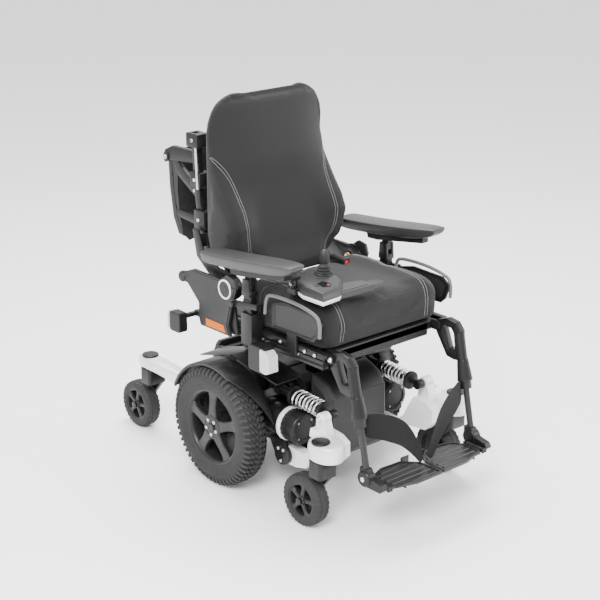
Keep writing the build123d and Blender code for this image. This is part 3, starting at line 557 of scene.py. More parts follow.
def drive_tyre(hand, side):
    """Round-shouldered tyre with rows of low blocks."""
    x0, x1 = DRIVE_TYRE_X
    middle = (x0 + x1) / 2
    wall = [(x0 + 8, TYRE_BEAD_R), (x0 + 4, 120), (x0 + 1, 132), (x0, 144), (x0 + 2, 155), (x0 + 7, 164),
            (x0 + 15, 169.5), (x0 + 26, 172.5), (middle, 173.5), (x1 - 26, 172.5), (x1 - 15, 169.5),
            (x1 - 7, 163), (x1 - 2, 155), (x1, 144), (x1 - 1, 132), (x1 - 4, 120), (x1 - 8, TYRE_BEAD_R)]
    shapes = [lathe(wall, (0, 0, DRIVE_Z), (1, 0, 0), 116, closed=True)]
    pitch = 2 * math.pi / TREAD_PITCHES
    for index in range(TREAD_PITCHES):
        for end in (-1, 1):
            turn = (index + (0.5 if end > 0 else 0)) * pitch
            rows = ((1.5, 12, 172, (178.0, 178.0), 11, 0.9), (14.5, 24.5, 169, (177.8, 176.4), 11, 0.5),
                    (27, 39, 156, (175.6, 166), 10.5, 0.15))
            for near, far, inner, outer, length, lean in rows:
                across = (middle + end * near, middle + end * far)
                if end < 0:
                    across = across[::-1]
                    outer = outer[::-1]
                shapes.append(tread_block(across, length, inner, outer, turn, lean * end))
    for radius in (128, 141, 153):
        face = along_table([(120, x1 - 4), (132, x1 - 1), (144, x1), (155, x1 - 2)], radius)
        bead = [(face - 1.2, radius - 1.6), (face + 0.5, radius), (face - 1.2, radius + 1.6)]
        shapes.append(lathe(bead, (0, 0, DRIVE_Z), (1, 0, 0), 116, closed=True))
    add(hand + "_tyre_tread", join(*shapes), hand + "_drive_wheel", "tyre", side,
        stands_for=[hand + "_drive_tyre"])


SPOKES = 5
SPOKE_PITCH = 72
RIM_BOLT_R = 23


def spoke(centre_y, centre_z, sections, turn):
    """Arm from the hub outwards through (radius, half width, inner x, outer x) sections."""
    rings = []
    for radius, half, inner, outer in sections:
        ring = [(inner, -half), (outer - 3, -half), (outer, -half + 3), (outer, half - 3), (outer - 3, half),
                (inner, half)]
        rings.append([(x, centre_y + y, centre_z + radius) for x, y in ring])
    return turned_x(loft(rings), turn, centre_y, centre_z)


def drive_rim(hand, side):
    centre = (0, 0, DRIVE_Z)
    barrel = [(241, 111), (241, 105), (252, 101), (292, 101), (300, 104), (304, 108), (305.5, 112),
              (303, 114), (243, 113)]
    disc = [(246, 30), (252, 34), (254, 100), (258, 102), (250, 102), (246, 98)]
    hub = [(240, 0), (240, 34), (288, 34), (298, 38), (303, 37), (305, 32), (303, 29), (303, 0)]
    shapes = [lathe(barrel, centre, (1, 0, 0), 96, closed=True), lathe(hub, centre, (1, 0, 0), 64),
              lathe(disc, centre, (1, 0, 0), 72, closed=True)]
    sections = [(26, 20, 278, 303), (42, 17, 280, 303), (62, 14.5, 284, 302), (84, 15.5, 283, 300),
                (97, 19, 278, 299), (106, 25, 272, 300)]
    shapes += [spoke(0, DRIVE_Z, sections, SPOKE_PITCH * index) for index in range(SPOKES)]
    body = hand + "_drive_wheel"
    add(hand + "_rim_spokes", join(*shapes), body, "wheel_rim", side, bevel=1.2,
        stands_for=[hand + "_drive_rim"])
    add(hand + "_rim_shaft", lathe([(160, 12.4), (241, 12.4)], centre, (1, 0, 0)), body, "actuator_metal",
        side, bevel=0.8)
    angles = [math.radians(SPOKE_PITCH * (index + 0.5)) for index in range(SPOKES)]
    places = [(303, RIM_BOLT_R * math.sin(turn), DRIVE_Z + RIM_BOLT_R * math.cos(turn)) for turn in angles]
    socket_screws(hand + "_rim_bolts", body, places, (1, 0, 0), 5.2, 5, side)
    cap = [(302.5, 12), (306, 12), (308, 10), (308, 0)]
    add(hand + "_rim_centre", lathe(cap, centre, (1, 0, 0), 32), body, "gloss_plastic", side)


CASTER_LUGS = 30
LUG_DEPTH = 6.0
LUG_SWING = 0.055
LUG_EDGES = ((12.5, 74.8), (21.5, 71.6))


def caster_lug(centre, end_x, turn):
    """Block on the shoulder of a caster tyre, from the tread's edge to its side."""
    x, y, z = centre
    near, far = LUG_EDGES
    rings = []
    for depth in (LUG_DEPTH, 0):
        ring = []
        for (across, crown), swing in ((near, -1), (near, 1), (far, 1), (far, -1)):
            radius, angle = crown - depth, turn + swing * LUG_SWING
            ring.append((x + end_x * across, y + radius * math.sin(angle), z + radius * math.cos(angle)))
        rings.append(ring)
    return loft(rings)


def caster_wheel(end, hand, side):
    node = f"{hand}_{end}_caster_wheel"
    middle = box_centre(node)
    x, y, z = drawn(middle)
    x = abs(x)
    tyre = [(-23, 49), (-25, 56), (-24.5, 64), (-20, 71), (-12, 74.4), (-10.5, 73.2), (-8.5, 73.2), (-7, 75),
            (7, 75), (8.5, 73.2), (10.5, 73.2), (12, 74.4), (20, 71), (24.5, 64), (25, 56), (23, 49)]
    body = f"{hand}_{end}_wheel"
    shapes = [lathe(tyre, (x, y, z), (1, 0, 0), 72, closed=True)]
    for index in range(CASTER_LUGS):
        for end_x in (-1, 1):
            turn = 2 * math.pi * (index + (0.5 if end_x > 0 else 0)) / CASTER_LUGS
            shapes.append(caster_lug((x, y, z), end_x, turn))
    add(f"{hand}_{end}_caster_tyre", join(*shapes), body, "tyre", side,
        stands_for=[node], angle=50)
    ring = [(-20, 49.5), (-20, 45), (-14, 43), (14, 43), (20, 45), (21.5, 49.5)]
    hub = [(-24, 7), (-24, 14), (-10, 16), (12, 16), (22, 14), (24, 12), (24, 7)]
    web = [(-8, 12), (-5, 12), (-5, 46), (-8, 46)]
    shapes = [lathe(profile, (x, y, z), (1, 0, 0), 72, closed=True) for profile in (ring, hub, web)]
    sections = [(12, 7.5, x + 4, x + 20), (26, 6.5, x + 6, x + 20), (38, 7.5, x + 4, x + 19),
                (45, 12, x + 2, x + 19)]
    shapes += [spoke(y, z, sections, SPOKE_PITCH * index + 10) for index in range(SPOKES)]
    add(f"{hand}_{end}_caster_rim", join(*shapes), body, "wheel_rim", side, bevel=0.8)


# ---- suspension and drive ------------------------------------------------------------------

SHOCK_X = 168.0
SHOCK_TOP = Vector((SHOCK_X, -150.0, 309.0))
SHOCK_END = Vector((SHOCK_X, -365.0, 297.0))
SHOCK_RUN = (SHOCK_END - SHOCK_TOP).normalized()
SHOCK_ACROSS = SHOCK_RUN.orthogonal().normalized()
SPRING_SPAN = (66.5, 176.0)
SPRING_TURNS = 7
SPRING_R = 22.0
SPRING_WIRE_R = 3.4
COLLAR_KNURLS = 18


def round_shock(turn):
    """Direction square to the shock, at a turn about it."""
    return SHOCK_ACROSS * math.cos(turn) + SHOCK_RUN.cross(SHOCK_ACROSS) * math.sin(turn)


def shock_spring(hand, side):
    low, high = SPRING_SPAN
    line = []
    steps = SPRING_TURNS * 28
    for index in range(steps + 1):
        t = index / steps
        closing = smoothstep(t, 0, 0.1) * 0.5 + smoothstep(t, 0.9, 1.0) * 0.5
        rise = low + (high - low) * (0.92 * t + 0.08 * closing)
        turn = 2 * math.pi * SPRING_TURNS * t
        line.append(SHOCK_TOP + SHOCK_RUN * rise + round_shock(turn) * SPRING_R)
    spring = add(hand + "_spring_coil", tube(line, SPRING_WIRE_R, 10), hand + "_shock_body",
                 "spring_steel", side, stands_for=[hand + "_shock_spring"])
    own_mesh(spring)


def shock_trim(hand, side):
    """Knurls of the preload collar."""
    collar = []
    for turn in turns(COLLAR_KNURLS):
        start = SHOCK_TOP + SHOCK_RUN * 57 + round_shock(turn) * 26.5
        collar.append(tube([start, start + SHOCK_RUN * 6], 1.8, 8))
    add(hand + "_shock_collar", join(*collar), hand + "_shock_body", "black_plastic", side)


MOTOR_X = 178.0
MOTOR_Z = 222.0
MOTOR_RIBS = 20
MOTOR_RIB_R = 45.6


def motor_trim(hand, side):
    """Ribs and bezel of the motor's end cap, its clamp ring and its screws."""
    front = (MOTOR_X, -262, MOTOR_Z)
    ribs = []
    for turn in turns(MOTOR_RIBS):
        dx, dz = math.cos(turn) * MOTOR_RIB_R, math.sin(turn) * MOTOR_RIB_R
        ribs.append(tube([(MOTOR_X + dx, -256, MOTOR_Z + dz), (MOTOR_X + dx, -208, MOTOR_Z + dz)], 1.7, 6))
    bezel = [(-2.5, 30), (-2.5, 38), (-1, 41), (3, 42), (3, 30)]
    ribs.append(lathe(bezel, front, (0, 1, 0), 48, closed=True))
    add(hand + "_motor_ribs", join(*ribs), "base", "black_plastic", side)
    ring = [(-210, 44), (-210, 49), (-207, 50.5), (-198, 50.5), (-195, 49), (-195, 44)]
    add(hand + "_motor_clamp", lathe(ring, (MOTOR_X, 0, MOTOR_Z), (0, 1, 0), 64, closed=True), "base",
        "silver_paint", side, bevel=1.0)
    angles = [math.radians(45 + 90 * index) for index in range(4)]
    places = [(MOTOR_X + 34 * math.cos(turn), -262.5, MOTOR_Z + 34 * math.sin(turn)) for turn in angles]
    socket_screws(hand + "_motor_screws", "base", places, (0, -1, 0), 3.2, 2.4, side)


def arm_trim(hand, side):
    """Screws of the pivot plate and the bolt head of the shock eye."""
    places = ((209, -206, 148), (209, -184, 148), (209, -195, 112))
    socket_screws(hand + "_pivot_screws", "base", places, (1, 0, 0), 5.2, 3, side)
    bolt = [(213, 0), (213, 10), (216, 10.5), (221, 9.5), (222.5, 7), (222.5, 0)]
    add(hand + "_shock_bolt", lathe(bolt, (0, SHOCK_END.y, SHOCK_END.z), (1, 0, 0), 6), hand + "_front_arm",
        "actuator_metal", side, bevel=0.6)


FRONT_HEAD = [(192, -360), (232, -360), (268, -372), (289, -400), (292, -440), (276, -474), (242, -487),
              (208, -466), (189, -424)]
FRONT_HEAD_LEVELS = ((211.5, 0.6), (212, 0.92), (216, 1.0), (236, 1.01), (254, 0.97), (261, 0.88),
                     (262.5, 0.6))
FRONT_LINK = [(-170, 148), (-172, 108), (-196, 100), (-240, 101), (-284, 113), (-316, 158), (-400, 166),
              (-430, 196), (-430, 236), (-404, 250), (-352, 256), (-334, 226), (-312, 184), (-268, 154),
              (-215, 157)]


def front_arm(hand, side):
    """Cast swing arm: low link, rounded caster head and the neck that meets the shock."""
    middle_x, middle_y = middle_of(FRONT_HEAD)
    rings = []
    for z, share in FRONT_HEAD_LEVELS:
        rings.append([(middle_x + (x - middle_x) * share, middle_y + (y - middle_y) * share, z)
                      for x, y in FRONT_HEAD])
    add(hand + "_front_arm_head", loft(rings), hand + "_front_arm", "silver_paint", side, levels=2)
    eye = lathe([(184, 0), (184, 14), (187, 17), (212, 17), (215, 14), (215, 0)],
                (0, SHOCK_END.y, SHOCK_END.z), (1, 0, 0), 40)
    neck = prism([(-344, 246), (-350, 296), (-358, 310), (-374, 308), (-396, 250)], "x", 185, 214)
    brace = prism([(-350, 250), (-354, 276), (-378, 276), (-400, 250)], "x", 192, 240)
    link = prism(FRONT_LINK, "x", 160, 192)
    add(hand + "_front_arm_casting", join(link, neck, eye, brace), hand + "_front_arm", "silver_paint",
        side, bevel=4.0, stands_for=[hand + "_front_arm"])


REAR_ARM_SECTIONS = [(466, 212, 12, 222, 244), (460, 212, 22, 215, 250), (444, 212, 28, 212.5, 252.5),
                     (400, 212, 29, 212.5, 253), (372, 209, 28, 211, 251), (340, 204, 26, 204, 246),
                     (300, 196, 23, 193, 237), (262, 190, 20, 184, 230), (215, 184, 17, 177, 226),
                     (180, 182, 15, 174, 232), (150, 182, 14, 176, 232), (132, 182, 13, 184, 226)]


def squared(value):
    """Pushes a circle's sine or cosine out towards a square's."""
    return math.copysign(abs(value) ** 0.5, value)


def rear_arm(hand, side):
    """Cast arm that slopes from the broad caster head down to its pivot."""
    rings = []
    for y, x, half, low, high in REAR_ARM_SECTIONS:
        middle, tall = (low + high) / 2, (high - low) / 2
        ring = []
        for index in range(20):
            turn = 2 * math.pi * (index + 0.5) / 20
            ring.append((x + half * squared(math.cos(turn)), y, middle + tall * squared(math.sin(turn))))
        rings.append(ring)
    add(hand + "_rear_arm_casting", loft(rings), hand + "_rear_arm", "silver_paint", side, levels=1,
        stands_for=[hand + "_rear_arm"])


# ---- base covers ---------------------------------------------------------------------------

COVER_HALF = 112.0
FRONT_PROFILE = [(-206, 112), (-206, 352), (-226, 350), (-270, 332), (-296, 300), (-296, 128), (-286, 112)]


def cover_shell(profile, inset, straight):
    """Shell whose sides are drawn in beyond its straight half width."""
    end = inset_profile(profile, inset)
    return across_chair([(-COVER_HALF, end), (-straight, profile), (straight, profile), (COVER_HALF, end)])


def base_covers():
    rear_profile = [(204, 128), (204, 336), (222, 334), (240, 300), (240, 160), (228, 134)]
    shells = join(cover_shell(FRONT_PROFILE, 22, 100), cover_shell(rear_profile, 12, 102))
    add("base_cover_shells", shells, "base", "grey_shroud", bevel=3.0, stands_for=["base_covers"])
    cap = prism([(-212, 352), (-226, 351.5), (-271, 333), (-296.5, 301), (-296, 296), (-266, 326),
                 (-212, 344)], "x", -90, 90)
    add("front_cover_cap", cap, "base", "black_plastic", bevel=1.5)
    places = [(x, 240, z) for x in (-96, 96) for z in (180, 284)]
    socket_screws("base_cover_screws", "base", places, (0, 1, 0), 4.5, 2.5)


# ---- soft parts ----------------------------------------------------------------------------

def evaluated(piece):
    """Final mesh of a piece with its modifiers applied, put back on it."""
    bpy.context.view_layer.update()
    graph = bpy.context.evaluated_depsgraph_get()
    mesh = bpy.data.meshes.new_from_object(piece.evaluated_get(graph))
    piece.modifiers.clear()
    piece.data = mesh
    return mesh


def remeshed(piece, voxel):
    tool = piece.modifiers.new("remesh", "REMESH")
    tool.mode = "VOXEL"
    tool.voxel_size = voxel * MM
    tool.use_smooth_shade = True
    mesh = evaluated(piece)
    mesh.shade_smooth()


CLOTH_FRAMES = 20


def inflated(piece, cap, pressure=4.0):
    """Swells a closed cushion with a short cloth simulation, each point moving no more than the cap."""
    before = [vert.co.copy() for vert in piece.data.vertices]
    cloth = piece.modifiers.new("cloth", "CLOTH")
    cloth.settings.use_pressure = True
    cloth.settings.uniform_pressure_force = pressure
    cloth.settings.effector_weights.gravity = 0.0
    cloth.settings.quality = 4
    cloth.settings.tension_stiffness = 25
    cloth.settings.bending_stiffness = 4
    cloth.collision_settings.use_collision = False
    scene = bpy.context.scene
    cloth.point_cache.frame_start = 1
    cloth.point_cache.frame_end = CLOTH_FRAMES
    for step in range(1, CLOTH_FRAMES + 1):
        scene.frame_set(step)
    mesh = evaluated(piece)
    scene.frame_set(1)
    limit = cap * MM
    for vert, start in zip(mesh.vertices, before):
        move = vert.co - start
        if move.length > limit:
            vert.co = start + move.normalized() * limit
    mesh.shade_smooth()


def grooved(piece, paths, depth, width):
    """Presses a seam into a soft piece along each path."""
    points = [at(*point) for path in paths for point in path]
    tree = BVHTree.FromPolygons(points, [(i, i + 1, i + 1) for i in range(len(points) - 1)])
    mesh = piece.data
    normals = [vert.normal.copy() for vert in mesh.vertices]
    for vert, normal in zip(mesh.vertices, normals):
        place, _, _, distance = tree.find_nearest(vert.co, width * 3 * MM)
        if place is not None:
            vert.co -= normal * depth * MM * math.exp(-(distance / (width * MM)) ** 2)


def on_surface(piece, points, spacing):
    """Points spread evenly along a path and dropped on to a piece, each with the surface's normal."""
    mesh = piece.data
    tree = BVHTree.FromPolygons([vert.co.copy() for vert in mesh.vertices],
                                [tuple(face.vertices) for face in mesh.polygons])
    places = []
    left = 0.0
    for a, b in zip(points, points[1:]):
        start, end = at(*a), at(*b)
        run = (end - start).length
        while left < run:
            place, normal, _, _ = tree.find_nearest(start.lerp(end, left / run))
            places.append((place, normal))
            left += spacing * MM
        left -= run
    return places


STITCH_SHIFTS = (-4.5, 4.5)


def stitches(name, piece, paths, body, length=3.2, gap=1.8, radius=0.55):
    """Rows of raised thread along paths on a soft piece."""
    shapes = []
    for path in paths:
        places = on_surface(piece, path, (length + gap) / 2)
        for (start, normal_a), (end, normal_b) in list(zip(places, places[1:]))[::2]:
            middle = (start + end) / 2 + (normal_a + normal_b) * radius * 0.35 * MM
            run = (end - start).normalized() * length / 2 * MM
            line = [middle - run - normal_a * radius * MM, middle - run * 0.6, middle + run * 0.6,
                    middle + run - normal_b * radius * MM]
            shapes.append(tube([drawn(point) for point in line], radius, 6))
    return add(name, join(*shapes), body, "thread")


BACK_TOP = 1116.0
BACK_HALF = 213.0
BACK_TOP_HALF = 104.0
BACK_SHOULDER = 985.0
BACK_ROUND = 2.3
WING_FRONT = [(590, 40), (631, 24), (660, 6), (700, -6), (747, -10), (789, 8), (830, 35), (870, 62),
              (911, 88), (960, 108), (996, 116), (1040, 118), (1116, 116)]
BACK_REAR = [(590, 56), (604, 68), (625, 84), (643, 100), (668, 113), (700, 116), (1000, 116), (1073, 112),
             (1116, 106)]


def back_half_width(z):
    if z < 660:
        return BACK_HALF - (660 - z) * 0.4
    if z < BACK_SHOULDER:
        return BACK_HALF
    t = (z - BACK_SHOULDER) / (BACK_TOP - BACK_SHOULDER)
    fall = max(0.0, 1 - t ** BACK_ROUND) ** (1 / BACK_ROUND)
    return BACK_TOP_HALF + (BACK_HALF - BACK_TOP_HALF) * fall


def back_front(x, z):
    """Front face of the back cushion."""
    centre = -36 + (z - 606) * 0.247
    recess = 16 * smoothstep(z, 615, 680) * (1 - smoothstep(z, 840, 930))
    wing = along_table(WING_FRONT, z)
    low_share = smoothstep(abs(x), 96, 182)
    high_share = (abs(x) / BACK_HALF) ** 2.8
    mix = smoothstep(z, 790, 910)
    share = low_share * (1 - mix) + high_share * mix
    brow = 14 * smoothstep(z, 1070, BACK_TOP) ** 2
    return (centre + recess) * (1 - share) + wing * share + brow


def back_ring(z, inset):
    """Outline of the back cushion at one height, drawn in by inset."""
    half = back_half_width(z) - inset
    rear = along_table(BACK_REAR, z) - inset
    front_count, rear_count = 56, 40
    round_r = 18 + 16 * smoothstep(z, 860, 980)
    ring = []
    for index in range(front_count + 1):
        x = -half * math.cos(math.pi * index / front_count)
        face = min(back_front(x, z) + inset, rear - 8)
        corner = min(round_r, (rear - face) * 0.6)
        near = half - abs(x)
        if near < corner:
            face += corner - math.sqrt(corner ** 2 - (corner - near) ** 2)
        ring.append((x, face, z))
    for index in range(1, rear_count):
        x = half * math.cos(math.pi * index / rear_count)
        near = half - abs(x)
        back = rear + 13 * smoothstep(abs(x), half - 44, half - 20) * smoothstep(z, 660, 720)
        if near < 8:
            back -= 8 - math.sqrt(64 - (8 - near) ** 2)
        ring.append((x, back, z))
    return ring


WING_SEAM = [(215, 938), (200, 922), (184, 896), (172, 856), (168, 800), (169, 750), (164, 705), (148, 660),
             (126, 625), (112, 606)]


def seam_path(side, shift):
    line = curve_through([(side * (x - shift), 0, z) for x, z in WING_SEAM], 6)
    return [(point.x, back_front(point.x, point.z), point.z) for point in line]


def back_cushion():
    levels = [(592, 14), (596, 6), (602, 2)]
    levels += [(z, 0) for z in range(608, 1076, 8)]
    levels += [(1082, 0), (1090, 0.5), (1098, 2), (1105, 4.5), (1110, 8), (1113, 11)]
    rings = [back_ring(z, inset) for z, inset in levels]
    cushion = add("back_cushion_cover", loft(rings), None, "back_fabric", stands_for=["back_cushion"])
    remeshed(cushion, 5.0)
    inflated(cushion, 5.0)
    seams = [seam_path(side, 0) for side in (1, -1)]
    for seam in seams:
        grooved(cushion, [seam], 2.6, 5.5)
    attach(cushion, "back_carriage")
    rows = [seam_path(side, shift) for side in (1, -1) for shift in STITCH_SHIFTS]
    stitches("back_cushion_stitching", cushion, rows, "back_carriage")


SEAT_HALF = 224.0
SEAT_FRONT = -396.0
SEAT_REAR = -34.0
SEAT_LOW = 501.0
SEAT_HIGH = 604.0
SEAT_MIDDLE_Y = (SEAT_FRONT + SEAT_REAR) / 2
SEAT_CORNER_R = 42


def rounded_ring(half, front, rear, corner, z):
    """Rounded rectangle at one height."""
    ring = []
    for cx, cy, start in ((half - corner, rear - corner, 0), (-half + corner, rear - corner, 90),
                          (-half + corner, front + corner, 180), (half - corner, front + corner, 270)):
        for index in range(9):
            turn = math.radians(start + 11.25 * index)
            ring.append((cx + corner * math.cos(turn), cy + corner * math.sin(turn), z))
    return ring


def seat_cushion():
    levels = [(SEAT_LOW, 9), (SEAT_LOW + 3, 4), (SEAT_LOW + 9, 1), (SEAT_LOW + 30, 0), (SEAT_HIGH - 34, 0),
              (SEAT_HIGH - 20, 3), (SEAT_HIGH - 9, 10), (SEAT_HIGH - 2, 21), (SEAT_HIGH, 32)]
    rings = [rounded_ring(SEAT_HALF - inset, SEAT_FRONT + inset, SEAT_REAR - inset, SEAT_CORNER_R, z)
             for z, inset in levels]
    cushion = add("seat_cushion_cover", loft(rings), None, "seat_fabric", stands_for=["seat_cushion"])
    remeshed(cushion, 6.0)
    for vert in cushion.data.vertices:
        x, y, z = drawn(vert.co)
        top = smoothstep(z, SEAT_HIGH - 40, SEAT_HIGH)
        ends = max(0.0, 1 - ((y - SEAT_MIDDLE_Y) / 190) ** 4)
        crown = max(0.0, 1 - (x / SEAT_HALF) ** 6) * ends
        side_roll = math.exp(-((abs(x) - 168) / 40) ** 2) * ends
        vert.co.z += top * (6 * crown + 12 * side_roll) * MM
    inflated(cushion, 5.0)
    seams = []
    for side in (1, -1):
        over = [(side * 160, -404, 512), (side * 160, -404, 575), (side * 162, -380, 622),
                (side * 166, -300, 640), (side * 172, -180, 640), (side * 176, -60, 640)]
        seams.append([tuple(point) for point in curve_through(over, 10)])
    seams.append([(x, -398, 540) for x in range(-190, 191, 10)])
    settled = [[drawn(place) for place, _ in on_surface(cushion, seam, 6)] for seam in seams]
    for seam in settled:
        grooved(cushion, [seam], 2.4, 5.0)
    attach(cushion, "seat")
    rows = [[(x + shift, y, z) for x, y, z in seam] for seam in settled[:2] for shift in STITCH_SHIFTS]
    stitches("seat_cushion_stitching", cushion, rows, "seat")


ARM_SECTIONS = [(46, 228, 294, 667, 697), (45, 226, 297, 665, 699), (42, 225, 299, 663, 699.5),
                (10, 224, 301, 663, 702), (-60, 222, 302, 669, 708), (-120, 221, 302.5, 676, 714.5),
                (-200, 221, 303, 686, 724.5), (-260, 225, 302, 694, 732), (-306, 232, 299, 704, 737),
                (-326, 239, 294, 716, 737), (-333, 242, 291, 722, 736), (-334.5, 245, 288, 725, 735)]
ARM_OUTLINE = [(-0.66, 0.0), (-0.8, 0.1), (-0.96, 0.56), (-1.0, 0.78), (-0.985, 0.86), (-0.9, 0.91),
               (-0.5, 0.975), (0.0, 1.0), (0.5, 0.975), (0.9, 0.91), (0.985, 0.86), (1.0, 0.78), (0.96, 0.56),
               (0.8, 0.1), (0.66, 0.0), (0.0, -0.02)]


def arm_pad(hand, side):
    rings = []
    for y, inner, outer, low, high in ARM_SECTIONS:
        middle, half = (inner + outer) / 2, (outer - inner) / 2
        rings.append([(middle + half * u, y, low + (high - low) * w) for u, w in ARM_OUTLINE])
    pad = add(hand + "_arm_pad", loft(rings), hand + "_armrest", "arm_foam", side, levels=2,
              stands_for=[hand + "_armrest"])
    edge = [(outer - 0.5, y, low + (high - low) * 0.8) for y, _, outer, low, high in ARM_SECTIONS[1:-1]]
    add(hand + "_arm_pad_edge", tube(curve_through(edge), 1.1, 8), hand + "_armrest", "arm_foam", side)
    bar = prism([(-54, 668), (-60, 651), (-100, 653), (-286, 684), (-286, 700), (-120, 680)], "x", 249, 273)
    lug = prism([(-141, 668), (-141, 630), (-134, 627), (-122, 627), (-115, 630), (-115, 664)], "x", 254, 268)
    shapes = [bar, lug]
    if hand == "right":
        shapes.append(block(214, 249, -286, -262, 678, 688))
        shapes.append(lathe([(641, 5), (678, 5)], (222, -274, 0), (0, 0, 1), 24))
    add(hand + "_arm_bar", join(*shapes), hand + "_armrest", "black_steel", side, bevel=1.2)


# ---- joystick ------------------------------------------------------------------------------

POD_PLAN = [(192, -214), (168, -203), (142, -198), (118, -200), (98, -208), (84, -228), (76, -256),
            (84, -296), (100, -332), (132, -366), (168, -392), (234, -398), (236, -318), (214, -258)]
STICK = (113.0, -267.0, 650.0)


def pod_ring(z, inset):
    return [(x, y, z) for x, y in inset_profile(POD_PLAN, inset)]


def pod_piece(name, shape, look, **settings):
    add("joystick_pod_" + name, shape, "joystick_pod", look, -1, **settings)


def joystick_pod():
    """Control pod on the right arm support."""
    shell = loft([pod_ring(633, 9), pod_ring(638, 2), pod_ring(643, 0), pod_ring(652, 0.5), pod_ring(663, 9),
                  pod_ring(667, 17)])
    wing = prism([(120, -322), (164, -388), (42, -392), (42, -344), (70, -334)], "z", 636, 653)
    pod_piece("shell", join(shell, wing), "pod_plastic", bevel=1.6, stands_for=["joystick_pod"])
    trim = loft([pod_ring(634.5, 2.4), pod_ring(638, 0.4), pod_ring(640, -1.0), pod_ring(646.5, -1.0)])
    pod_piece("trim", trim, "silver_paint", bevel=0.6)
    band = prism([(112, -330), (150, -380), (56, -383), (56, -352), (80, -344)], "z", 652.5, 654)
    panel = prism([(160, -312), (186, -320), (192, -352), (172, -360), (154, -344)], "z", 666.6, 667.8)
    pod_piece("panels", join(band, panel), "gloss_plastic", bevel=0.4)
    key = [(666, 6), (668.4, 6), (669.4, 4.8), (669.4, 0)]
    keys = [lathe(key, (x, y, 0), (0, 0, 1), 24) for x, y in ((150, -222), (176, -232), (196, -330))]
    pod_piece("keys", join(*keys), "rubber")
    pod_piece("led", lathe([(667, 3), (669, 2.6), (669.6, 0)], (170, -346, 0), (0, 0, 1), 16), "red_button")
    x, y, z = STICK
    collar = [(z + 15, 27), (z + 20, 26), (z + 21, 23), (z + 15, 21)]
    pod_piece("collar", lathe(collar, (x, y, 0), (0, 0, 1), 48, closed=True), "black_plastic")
    lug = block(206, 238, -290, -258, 638, 655)
    pod_piece("hinge", lug, "black_plastic", bevel=2.0)


def joystick_knob():
    x, y, z = STICK
    gaiter = [(16, 16), (17, 20)]
    for level, radius in ((20, 21.5), (28, 19), (36, 16.5)):
        gaiter += [(level, radius - 3), (level + 1.5, radius), (level + 4, radius), (level + 5.5, radius - 3)]
    gaiter += [(44, 12), (48, 9.5)]
    knob = [(46, 9), (50, 11), (56, 12.2), (68, 12.6), (78, 11.6), (84, 8), (86, 3.5), (86.3, 0)]
    add("joystick_gaiter", lathe(gaiter, (x, y, z), (0, 0, 1), 48), "stick", "rubber", -1,
        stands_for=["joystick_knob"], angle=60)
    add("joystick_grip", lathe(knob, (x, y, z), (0, 0, 1), 40), "stick", "rubber", -1, angle=60)
    stem = lathe([(-5, 6), (48, 6)], (x, y, z), (0, 0, 1), 24)
    add("joystick_stem", stem, "stick", "actuator_metal", -1)


CABLE_POINTS = [(-206, -226, 650), (-224, -196, 648), (-240, -170, 634), (-244, -153, 608),
                (-244, -153, 580.2)]
CABLE_DIAMETER = 0.0064


def joystick_cable():
    """Lead from the pod to the socket on the arm post."""
    data = bpy.data.curves.new("joystick_lead", "CURVE")
    data.dimensions = "3D"
    data.bevel_depth = CABLE_DIAMETER / 2
    data.bevel_resolution = 4
    data.use_fill_caps = True
    line = data.splines.new("NURBS")
    line.points.add(len(CABLE_POINTS) - 1)
    for point, place in zip(line.points, CABLE_POINTS):
        point.co = (*at(*place), 1)
    line.order_u = 3
    line.use_endpoint_u = True
    line.resolution_u = 16
    data.materials.append(LOOKS["cable_jacket"][0])
    cable = bpy.data.objects.new("joystick_lead", data)
    bpy.context.scene.collection.objects.link(cable)
    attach(cable, "joystick_pod")
    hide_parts("joystick_cable")


# ---- leg supports --------------------------------------------------------------------------

FLIP_X = 182.0
FLIP_Z = 168.0
FOOT_Y = -542.0
FOOT_Z = 184.0


def footplate(hand, side):
    """Plate with five broad raised bands and a rim, on the fold-up hinge."""
    plan = [(170, -606), (170, -546), (158, -520), (118, -504), (46, -508), (8, -548), (3, -600), (3, -627),
            (96, -627)]
    plate = prism(plan, "z", FLIP_Z - 5, FLIP_Z + 1)
    inner_x, inner_y = 92, -568
    rim = [[(x, y, z) for x, y in plan] for z in (FLIP_Z, FLIP_Z + 4)]
    rim += [[(x + (inner_x - x) * 0.07, y + (inner_y - y) * 0.07, z) for x, y in plan]
            for z in (FLIP_Z + 4, FLIP_Z)]
    lip = loft(rim, closed=True)
    ribs = []
    for y in (-612, -590, -568, -546, -524):
        end = 160 if y < -545 else 138
        start = 16 if y < -550 else 16 + (y + 550) * 1.1
        band = [(y - 7, FLIP_Z), (y - 4, FLIP_Z + 3.4), (y + 4, FLIP_Z + 3.4), (y + 7, FLIP_Z)]
        ribs.append(prism(band, "x", start, end))
    for x in (50, 92, 134):
        ribs.append(block(x - 1.5, x + 1.5, -620, -512, FLIP_Z - 9, FLIP_Z - 4.8))
    knuckle = lathe([(-603.5, 7), (-544.5, 7)], (FLIP_X, 0, FLIP_Z), (0, 1, 0), 32)
    web = block(168, FLIP_X, -603.5, -544.5, FLIP_Z - 5, FLIP_Z + 1)
    heel = block(16, 46, -512, -508, FLIP_Z - 5, FLIP_Z + 14)
    shape = join(plate, lip, web, knuckle, heel, *ribs)
    add(hand + "_foot_tray", shape, hand + "_footplate", "footplate_plastic", side, bevel=0.7,
        stands_for=[hand + "_footplate"])


STRAP_EDGES = [((190, -505, 352), (190, -512, 284)), ((158, -518, 349), (166, -524, 281)),
               ((126, -530, 342), (142, -535, 272)), ((94, -539, 328), (112, -543, 258)),
               ((66, -546, 308), (84, -549, 243)), ((44, -551, 276), (62, -554, 222)),
               ((26, -555, 240), (44, -558, 202)), ((12, -557, 208), (30, -560, 186)),
               ((4, -558, 186), (22, -561, 175))]


